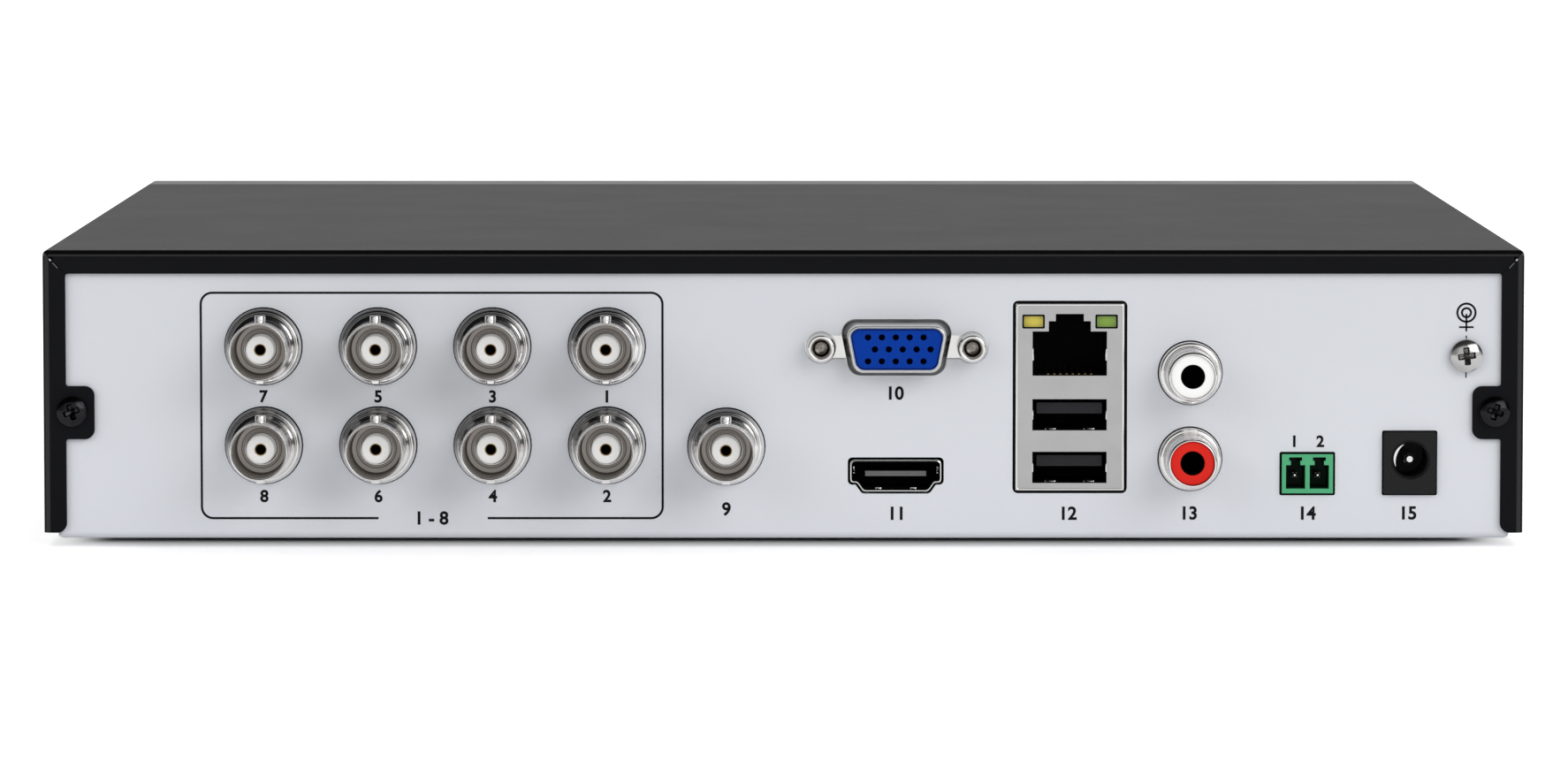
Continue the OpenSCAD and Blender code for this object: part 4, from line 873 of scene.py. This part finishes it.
monitor = {"x": 18.72, "up": 31.76, "lean": 0.2, "post": 12.5, "plate": (30.8, 12.4),
           "inside": (14.8, 6.4, 1.35)}
# rows of the drawn shell: width, height, corner radius, height above the panel
monitorRows = [
    (18.16, 9.16, 2.33, -1.0), (18.16, 9.16, 2.33, 0.28), (18.12, 9.12, 2.32, 0.36),
    (18.02, 9.02, 2.29, 0.42), (17.78, 8.86, 2.24, 0.54), (17.48, 8.66, 2.17, 0.72),
    (17.20, 8.48, 2.09, 0.93), (16.98, 8.32, 2.02, 1.22), (16.80, 8.18, 1.98, 1.70),
    (16.52, 7.94, 1.90, 2.70), (16.30, 7.74, 1.83, 4.40), (16.20, 7.66, 1.80, 4.80),
    (16.02, 7.50, 1.75, 5.02), (15.84, 7.34, 1.70, 5.06), (15.74, 7.25, 1.67, 4.66),
    (15.58, 7.11, 1.62, 4.66), (15.48, 7.02, 1.59, 5.06), (15.24, 6.82, 1.50, 5.14),
    (14.98, 6.58, 1.41, 4.98), (14.84, 6.44, 1.36, 4.70), (14.82, 6.42, 1.35, -1.0),
]
lean = monitor["lean"]
shell = loft(np.stack([atHeight(connectorOutline(w, h, r, lean, 10), z) for w, h, r, z in monitorRows]))
# its mounting plate behind the panel, seen through the panel's slot
outside, inside = roundBox(*monitor["plate"], 1.0, 10), connectorOutline(*monitor["inside"], lean, 10)
plateRows = [(outside, -1.9), (outside, -1.1), (inside, -1.1), (inside, -1.9)]
shell.join(loft(np.stack([atHeight(outline, z) for outline, z in plateRows])))
makePiece("monitorShell", shell, shellPlate, "plated_steel", ["vga_shell"], smooth=50,
          move=onPanel(monitor["x"], monitor["up"]))
postCorners = [
    (1.3, -4.0), (1.8, -8.4), (1.85, -1.0), (2.5, -1.0), (2.5, 1.0), (2.42, 1.1), (2.42, 2.9), (2.15, 3.5),
    (1.75, 3.58), (1.55, 3.3), (1.40, 2.7), (1.32, 1.0),
]
postCup = [(1.34, 0.2), (1.34, 1.2), (1.0, 1.9), (0.5, 2.15), (0.04, 2.2), (0.04, 0.2)]
posts, cups = Surface(), Surface()
for side in (-1, 1):
    onPost = onPanel(monitor["x"] + side * monitor["post"], monitor["up"])
    posts.join(lathe(soften(postCorners, 0.18, 4), 72), onPost)
    cups.join(lathe(soften(postCup, 0.1, 3), 48), onPost)
makePiece("monitorPosts", posts, plated, "plated_steel", ["vga_jackposts"])
# the posts' cups in the dull nickel, darkened to a painted shade
makePiece("monitorPostCups", cups, shadedDullNickel, "plated_steel")

# digital picture socket

picture = {"x": 18.61, "up": 10.45, "size": (15.9, 6.05), "step": 1.55, "trough": (6.65, 5.6), "inset": 0.4,
           "wall": 0.25, "radius": (0.55, 0.35, 0.5, 0.5, 0.35, 0.55, 0.75, 0.75)}
onPicture = onPanel(picture["x"], picture["up"])


# oblong with a narrower trough below it, drawn in by t
def pictureOutline(t):
    x, y = picture["size"][0] / 2 - t, picture["size"][1] / 2 - t
    high, low = [edge - 0.52 * t for edge in picture["trough"]]
    step = t - picture["step"]
    corners = [(-x, step), (-high, step), (-low, -y), (low, -y), (high, step), (x, step), (x, y), (-x, y)]
    return soften(corners, picture["radius"], 5)


g, wall = picture["inset"], picture["wall"]
inner = g + wall
levels = [
    (g, -11.5), (g, 0.16), (g + 0.08, 0.28), (g + 0.2, 0.32), (inner - 0.06, 0.26), (inner, 0.1),
    (inner, -10.6),
]
pictureShell = loft(stackRows(pictureOutline, levels))
pictureShell.join(slab(pictureOutline(inner - 0.05), -10.9, -10.4))
for side in (-1, 1):
    for z in (-9, -4):
        pictureShell.join(block((side * 5 - 0.6, -3.45, z - 0.6), (side * 5 + 0.6, -2.6, z + 0.6)))
makePiece("pictureShell", pictureShell, plated, "plated_steel", ["hdmi_shell"], smooth=50, move=onPicture)
# a black lining over the socket's inside, a painted shade
levels = [(inner + 0.01, -10.3), (inner + 0.01, -0.5), (inner + 0.1, -0.6), (inner + 0.12, -10.2)]
pictureInsideShade = loft(stackRows(pictureOutline, levels))
pictureInsideShade.join(slab(pictureOutline(inner + 0.02), -10.35, -10.15))
makePiece("pictureInsideShade", pictureInsideShade, deepBlack, "black_plastic", smooth=50, move=onPicture)
springs = Surface()
for side in (-1, 1):
    springs.join(block((side * 2.9 - 0.55, -2.4, -4.0), (side * 2.9 + 0.55, -2.05, -0.6), 0.12))
    springs.join(block((side * 6.95 - 0.15, 0.2, -5.0), (side * 6.95 + 0.15, 1.4, -1.2), 0.1))
makePiece("pictureSprings", springs, plated, "plated_steel", move=onPicture)
print("monitor and picture sockets made")

# network and data stack

stack = {"x": 47.41, "up": 23.5, "size": (17.94, 30.97), "portX": -0.05, "portLow": 3.565, "portWide": 12.3,
         "dataHeights": (-2.92, -11.66), "lamps": ((-6.05, 12.55), (6.03, 12.55)), "lampSize": (3.72, 2.32),
         "wires": 8, "wirePitch": 1.02, "pads": 4, "padPitch": 2.4, "gap": 0.5}
onStack = onPanel(stack["x"], stack["up"])
w0, h0 = stack["size"]
rimRows = [(0.0, -0.9, 0.5), (0.0, 0.22, 0.5), (0.06, 0.32, 0.46), (0.16, 0.36, 0.42), (0.30, 0.34, 0.3),
           (0.36, 0.28, 0.26), (0.36, -0.9, 0.26)]
rim = [atHeight(roundBox(w0 + 0.06 - 2 * t, h0 + 0.06 - 2 * t, r, 4), z) for t, z, r in rimRows]
makePiece("stackRim", loft(np.stack(rim)), plated, "tinned_steel", smooth=50, move=onStack)


# a black ring over the gap between the shield and the panel's opening, reaching a little over the panel's
# edge, a painted shadow
def gapShadowOutline(t):
    return roundBox(w0 + 2 * stack["gap"] - 2 * t, h0 + 2 * stack["gap"] - 2 * t, 0.9 - t, 5)


gap = loft(stackRows(gapShadowOutline, [(0.0, -0.9), (0.0, 0.012), (0.48, 0.012), (0.48, -0.9)]))
makePiece("stackGapShadow", gap, deepBlack, "black_plastic", smooth=50, move=onStack)
contacts, sideSprings, dataPads, lampFrames = Surface(), Surface(), Surface(), Surface()
low = stack["portLow"]
for k in range(stack["wires"]):
    x = stack["portX"] + stack["wirePitch"] * (k - (stack["wires"] - 1) / 2)
    wire = [(x, low + 0.12, -1.2), (x, low + 0.2, -2.6), (x, low + 0.7, -6.5), (x, low + 1.6, -9.8)]
    contacts.join(tube(wire, 0.15, 8))
    contacts.join(block((x - 0.18, low + 0.02, -1.1), (x + 0.18, low + 0.3, -0.6), 0.08))
for side in (-1, 1):
    edge = stack["portX"] + side * stack["portWide"] / 2
    sideSprings.join(block((edge - 0.22, low + 2.5, -1.6), (edge + 0.22, low + 4.5, 0.22), 0.1))
    for z in stack["dataHeights"]:
        sideSprings.join(block((edge - 0.16, z - 0.8, -1.6), (edge + 0.16, z + 0.7, 0.22), 0.08))
for z in stack["dataHeights"]:
    for k in range(stack["pads"]):
        x = stack["portX"] + (k - (stack["pads"] - 1) / 2) * stack["padPitch"]
        dataPads.join(block((x - 0.5, z + 0.02, -9.5), (x + 0.5, z + 0.12, -4.5)))
    for x in (-3.2, 3.2):
        sideSprings.join(block((x - 0.9, z - 2.55, -4.5), (x + 0.9, z - 2.3, -0.7), 0.08))
makePiece("portContacts", contacts, shadedGold, "gold_contact", move=onStack)
makePiece("stackSprings", sideSprings, plated, "plated_steel", move=onStack)
makePiece("dataPads", dataPads, gold, "gold_contact", move=onStack)
wide, high = stack["lampSize"]
for place in stack["lamps"]:
    frameRows = [(0.0, -0.6), (0.0, 0.36), (0.27, 0.36), (0.27, -0.6)]
    frame = loft(stackRows(lambda t: roundBox(wide - 2 * t, high - 2 * t, 0.2, 3) + place, frameRows))
    lampFrames.join(frame)
makePiece("lampFrames", lampFrames, deepBlack, "black_plastic", smooth=0, move=onStack)
print("network and data stack made")

# painted shadows: black rings over the gaps round the bus header and the power jack, reaching a little over
# the panel; the header's pin tips and the jack's spring
smallSockets = {
    "header": (86.77, 10.79, 8.94, 6.96, 0.25), "pinX": (-2.005, 1.805), "pinUp": -0.35, "tip": 0.2,
    "jack": (103.7, 12.56, 8.88, 10.5, 0.1), "bore": (0.1, 0.55), "boreRadius": 2.9, "leafTurn": (105, 215),
    "leafSwell": 0.42,
}
x, up = smallSockets["header"][:2]
tip = smallSockets["tip"]
tips, gapShadows = Surface(), Surface()
tipCorners = [(0.02, -1.6), (tip, -1.6), (tip, -1.02), (0.16, -0.96), (0.02, -0.95)]
for px in smallSockets["pinX"]:
    tips.join(lathe(tipCorners, 20), onPanel(x + px, up + smallSockets["pinUp"]))
makePiece("headerPinTips", tips, plated)
for x, up, wide, high, inset in (smallSockets["header"], smallSockets["jack"]):
    levels = [(-0.14, -0.9), (-0.14, 0.012), (inset, 0.012), (inset, -0.9)]
    ring = loft(stackRows(lambda t: roundBox(wide - 2 * t, high - 2 * t, 0.3, 3), levels))
    gapShadows.join(ring, onPanel(x, up))
makePiece("socketGapShadows", gapShadows, deepBlack, smooth=0)
start, end = [math.radians(t) for t in smallSockets["leafTurn"]]
turn = np.linspace(start, end, 25)
swell = smallSockets["leafSwell"] * np.sin((turn - start) / (end - start) * np.pi)
outer = smallSockets["boreRadius"] - 0.28
leafRows = []
for radius, z in ((outer, -2.2), (outer, -1.2), (outer - swell, -1.25), (outer - swell - 0.02, -2.2)):
    leafRows.append(np.column_stack([radius * np.cos(turn), radius * np.sin(turn), np.full(len(turn), z)]))
leaf = loft(np.stack(leafRows, 1)[::-1], closed=False)
x, up = smallSockets["jack"][:2]
boreX, boreUp = smallSockets["bore"]
makePiece("jackSpring", leaf, plated, move=onPanel(x + boreX, up + boreUp))
print("header and jack made")

# screws

domeFall, domePower = 0.42, 2.6


# cross recess head: dome height h (1 - fall (r/R)^power) with a cross of depth d pressed in by smooth steps
def crossHead(radius, height, depth, turn=0.0, rings=44, count=96):
    r = np.concatenate([np.linspace(0.03, 1, rings) * radius * 0.985, [radius, radius]])
    a = np.linspace(0, 2 * np.pi, count, endpoint=False)
    x, y = r[:, None] * np.cos(a), r[:, None] * np.sin(a)
    rel = r[:, None] / radius
    z = height * (1 - domeFall * rel ** domePower) + 0 * a
    xt, yt = x * np.cos(turn) + y * np.sin(turn), y * np.cos(turn) - x * np.sin(turn)

    def inside(v, half, soft):
        t = np.clip((half + soft - np.abs(v)) / (2 * soft), 0, 1)
        return t * t * (3 - 2 * t)

    def bar(across, along):
        return inside(across, arm, 0.07) * inside(along, long, 0.16)
    arm, long = radius * 0.16, radius * 0.5
    cross = np.maximum(bar(xt, yt), bar(yt, xt))
    taper = 1 - 0.55 * np.clip(np.hypot(x, y) / long, 0, 1)
    z = z - depth * cross * taper
    z[-2] = height * 0.45
    z[-1] = 0.0
    points = np.stack([x, y, z], -1)[::-1]
    return loft(points, closed=False)


caseScrews = {
    "tabs": ((-117.65, 21.2, 0.35), (117.65, 21.2, -0.3)), "tabHead": (2.5, 1.9, 1.4), "tabSheet": 0.8,
    "earth": (112.94, 30.4, 0.12), "earthHead": (2.7, 2.0, 1.6),
}
heads, earth = Surface(), Surface()
shank = lathe([(1.5, -6), (1.5, 0.02)], 32, closed=False)
for x, up, turn in caseScrews["tabs"]:
    onTab = onPanel(x, up, caseScrews["tabSheet"])
    heads.join(crossHead(*caseScrews["tabHead"], turn), onTab)
    heads.join(shank, onTab)
makePiece("tabScrews", heads, blackScrew, "black_steel", ["cover_screws"], body="cover", smooth=40)
x, up, turn = caseScrews["earth"]
radius, height, depth = caseScrews["earthHead"]


# plated steel, darker in the cross recess, a painted shade where a point lies below the head's dome
def makeEarthSteel():
    f = Finish("earthScrewSteel", {"Metallic": 1.0})
    sx, sy, sz = f.axes()
    across, above = sx - x, sz - (case["underZ"] + up)
    reach = ((across * across + above * above) / radius ** 2) ** (domePower / 2)
    sunk = (1 - reach * domeFall) * height - (case["panelY"] - sy)
    marks = f.noise(0.4, 3)
    unshadedSteel = f.mix(f.noise(4.5, 3), (0.48, 0.48, 0.47), (0.58, 0.58, 0.57))
    # painted shade: the colour in the recess is darkened
    f.feed("Base Color", f.mix(sunk.step(0.12, 0.7), unshadedSteel, (0.16, 0.155, 0.15)))
    f.feed("Roughness", marks * 0.12 + 0.12)
    return f.bump(marks, 0.001)


earth.join(crossHead(radius, height, depth, turn))
earth.join(shank)
makePiece("earthScrew", earth, makeEarthSteel(), "plated_steel", ["ground_screw"], smooth=40,
          move=onPanel(x, up))
print("screws made")

# printing on the panel

printing = {
    "thick": 0.03, "line": 0.37, "bold": 0.085, "size": 3.0, "videoUp": (25.1, 8.55), "videoSize": 2.75,
    "group": (-58.06, 4.89), "bus": (84.6, 88.9), "busUp": 17.66, "busSize": 2.6,
}
ink = Surface()


def arc(cx, cy, r, start, end, steps=40):
    t = np.radians(np.linspace(start, end, steps + 1))
    return np.column_stack([cx + r * np.cos(t), cy + r * np.sin(t)])


def inkLine(path, width=None, closed=False):
    line = stroke(path, width or printing["line"], -0.01, printing["thick"], closed)
    ink.join(line, onPanel(0, -case["underZ"]))


# a number's glyphs as a flat mesh, centred on (x, z) and of that size
def inkText(text, x, z, size):
    curve = bpy.data.curves.new("glyphs", "FONT")
    curve.body = text
    curve.size = size
    curve.align_x, curve.align_y = "CENTER", "CENTER"
    curve.extrude = printing["thick"] / 2
    curve.offset = printing["bold"]
    curve.resolution_u = 6
    holder = bpy.data.objects.new("glyphs", curve)
    bpy.context.scene.collection.objects.link(holder)
    bpy.context.view_layer.update()
    flat = bpy.data.meshes.new_from_object(holder.evaluated_get(bpy.context.evaluated_depsgraph_get()))
    co = np.zeros(len(flat.vertices) * 3)
    flat.vertices.foreach_get("co", co)
    co = co.reshape(-1, 3)
    middle = (co.min(0) + co.max(0)) / 2
    co = co - middle + (x, z, printing["thick"] / 2 - 0.005)
    glyphs = Surface().add(co, [list(p.vertices) for p in flat.polygons])
    ink.join(glyphs, onPanel(0, -case["underZ"]))
    bpy.data.objects.remove(holder)
    bpy.data.meshes.remove(flat)
    bpy.data.curves.remove(curve)


frameLine = {"left": -96.35, "right": -20.0, "low": 4.87, "high": 42.3, "radius": 1.9, "gap": (-67.1, -49.0)}
q, r = frameLine, frameLine["radius"]
path = np.vstack([
    [(q["gap"][1], q["low"])], arc(q["right"] - r, q["low"] + r, r, -90, 0, 12),
    arc(q["right"] - r, q["high"] - r, r, 0, 90, 12), arc(q["left"] + r, q["high"] - r, r, 90, 180, 12),
    arc(q["left"] + r, q["low"] + r, r, 180, 270, 12), [(q["gap"][0], q["low"])],
])
inkLine(path)
for i, (x, up) in enumerate(videoPlaces):
    inkText(str(i + 1), x, printing["videoUp"][i % 2], printing["videoSize"])
inkText("1 - 8", *printing["group"], printing["size"])
# the other sockets' numbers, from 9 on
numberPlaces = [
    (-9.45, 6.38), (18.7, 25.66), (18.77, 5.67), (47.38, 5.69), (67.35, 5.72), (87.0, 5.72), (103.7, 5.72),
]
for i, (x, z) in enumerate(numberPlaces):
    inkText(str(i + 9), x, z, printing["size"])
for i, x in enumerate(printing["bus"]):
    inkText(str(i + 1), x, printing["busUp"], printing["busSize"])
# earth mark: two rings, a stem and a bar, with a dash above the screw and one below it
earthMark = {
    "middle": (112.95, 39.0), "rings": ((1.5, 351, 40), (0.75, 346, 28)), "ringLine": 0.34,
    "stem": (0.2, 3.1), "bar": (1.2, 2.4), "stemLine": 0.3, "dashes": ((35.2, 34.7), (29.1, 28.2)),
    "dashLine": 0.2,
}
ex, ez = earthMark["middle"]
for r, end, steps in earthMark["rings"]:
    inkLine(arc(ex, ez, r, 0, end, steps), earthMark["ringLine"], closed=True)
start, end = earthMark["stem"]
half, down = earthMark["bar"]
inkLine([(ex, ez - start), (ex, ez - end)], earthMark["stemLine"])
inkLine([(ex - half, ez - down), (ex + half, ez - down)], earthMark["stemLine"])
for high, low in earthMark["dashes"]:
    inkLine([(ex, high), (ex, low)], earthMark["dashLine"])
makePiece("printedMarks", ink, printInk, smooth=0)
print("printing made")

# folded corners of the cover: a dark seam from the flanges' inner corner to the outer one, a painted
# highlight along the crease beside it and a painted glint in the relief hole
seam = {"inner": (118.75, 45.55), "outer": (122.15, 49.15), "width": 0.16}
creaseHighlight = {"inner": (119.9, 46.42), "outer": (120.72, 47.3), "width": 0.15}
cornerGlint = {"inner": (121.0, 47.66), "outer": (121.2, 47.98), "width": 0.36}
seams, creaseHighlights, glintSpots = Surface(), Surface(), Surface()
for side in (-1, 1):
    for mark, group in ((seam, seams), (creaseHighlight, creaseHighlights), (cornerGlint, glintSpots)):
        line = np.array([mark["inner"], mark["outer"]]) * (side, 1)
        group.join(stroke(line, mark["width"], 0.79, 0.812), onPanel(0, -case["underZ"]))
makePiece("coverSeams", seams, deepBlack, body="cover", smooth=0)
# painted highlights: bright steel strokes where the crease and the relief hole catch the light
makePiece("cornerCreaseHighlights", creaseHighlights, creaseHighlightSteel, body="cover", smooth=0)
makePiece("cornerGlintSpots", glintSpots, glintSteel, body="cover", smooth=0)

# small parts on the main board, set out where a ray from above meets no other piece
boardParts = {
    "rows": 30, "columns": 60, "low": (-110.0, -96.0), "high": (110.0, -14.0), "share": 0.34, "seed": 7,
    "resistorShare": 0.55, "resistor": (1.6, 0.8, 0.45), "capacitor": (1.8, 1.1, 0.9), "metalEnd": 0.32,
    "clear": 1.8,
}
obstacles = Surface()
for name in nodes:
    if name not in ("chassis_pan", "top_cover", "main_board", "front_bezel"):
        data, matrix = nodes[name].data, nodes[name].matrix_world
        obstacles.add([matrix @ v.co for v in data.vertices], [list(q.vertices) for q in data.polygons])
tree = BVHTree.FromPolygons(obstacles.points.tolist(), obstacles.faces)


def isFree(x, y, reach):
    for dx, dy in ((0, 0), (reach, reach), (-reach, reach), (reach, -reach), (-reach, -reach)):
        if tree.ray_cast(Vector(((x + dx) * metre, (y + dy) * metre, 0.06)), Vector((0, 0, -1)))[0]:
            return False
    return True


draw = np.random.default_rng(boardParts["seed"])
resistors, smallCaps, metalEnds = Surface(), Surface(), Surface()
deck = case["boardTop"]
for y in np.linspace(boardParts["low"][1], boardParts["high"][1], boardParts["rows"]):
    for x in np.linspace(boardParts["low"][0], boardParts["high"][0], boardParts["columns"]):
        chance, kind, turned = draw.random(3)
        if chance > boardParts["share"] or not isFree(x, y, boardParts["clear"]):
            continue
        isResistor = kind < boardParts["resistorShare"]
        size = np.array(boardParts["resistor" if isResistor else "capacitor"])
        if turned < 0.5:
            size = size[[1, 0, 2]]
        half, end = size / 2, boardParts["metalEnd"]
        low = (x - half[0], y - half[1], deck + 0.02)
        high = (x + half[0], y + half[1], deck + size[2])
        (resistors if isResistor else smallCaps).join(block(low, high, 0.06))
        along = np.array([turned >= 0.5, turned < 0.5], float)
        for side in (-1, 1):
            middle = np.array([x, y]) + side * along * (half[:2] - end / 2)
            reach = np.where(along > 0, end / 2 + 0.03, half[:2] + 0.03)
            metalEnds.join(block((*(middle - reach), deck), (*(middle + reach), deck + size[2] + 0.03), 0.05))
# legs of the flat packages: on four sides of the square ones, on two of the small ones
packages = {"first": -86, "step": 19, "count": 4, "square": (-63.0, 6.0, 6.0, 0.8),
            "small": (-41.0, 3.0, 4.0, 1.27), "leg": (0.17, 0.25)}
chipLegs = Surface()
legHalf, legTop = packages["leg"]
for row in ("square", "small"):
    y, halfWide, halfDeep, pitch = packages[row]
    for k in range(packages["count"]):
        x = packages["first"] + packages["step"] * k
        for p in np.arange(-halfDeep + pitch, halfDeep - pitch / 2, pitch):
            for side in (-1, 1):
                low, high = sorted((side * (halfWide - 0.05), side * (halfWide + 0.75)))
                lowest = (x + low, y + p - legHalf, deck)
                chipLegs.join(block(lowest, (x + high, y + p + legHalf, deck + legTop), 0.05))
                if row == "square":
                    lowest = (x + p - legHalf, y + low, deck)
                    chipLegs.join(block(lowest, (x + p + legHalf, y + high, deck + legTop), 0.05))
makePiece("boardResistors", resistors, blackPlastic)
makePiece("boardCapacitors", smallCaps, tanCeramic)
makePiece("boardMetalEnds", metalEnds, solder)
makePiece("chipLegs", chipLegs, solder)
# the drive's blank label with ruled lines
driveLabel = {"middle": (-38.0, 43.9), "size": (84.0, 62.0), "top": 31.12, "rules": 7}
x, y = driveLabel["middle"]
wide, deep = driveLabel["size"]
paper = Surface().join(slab(roundBox(wide, deep, 2.0, 5), 0.0, 0.06), shift(x, y, driveLabel["top"]))
makePiece("driveLabel", paper, labelPaper, smooth=0)
rules = Surface()
for k in range(driveLabel["rules"]):
    at = deep * (0.36 - 0.11 * k)
    long = wide * (0.8 if k % 3 else 0.5)
    line = [(-0.42 * wide, at), (-0.42 * wide + long, at)]
    rules.join(stroke(line, 0.5 if k % 3 else 1.4, 0.05, 0.08), shift(x, y, driveLabel["top"]))
makePiece("driveLabelRules", rules, printInk, smooth=0)
print("small parts made")
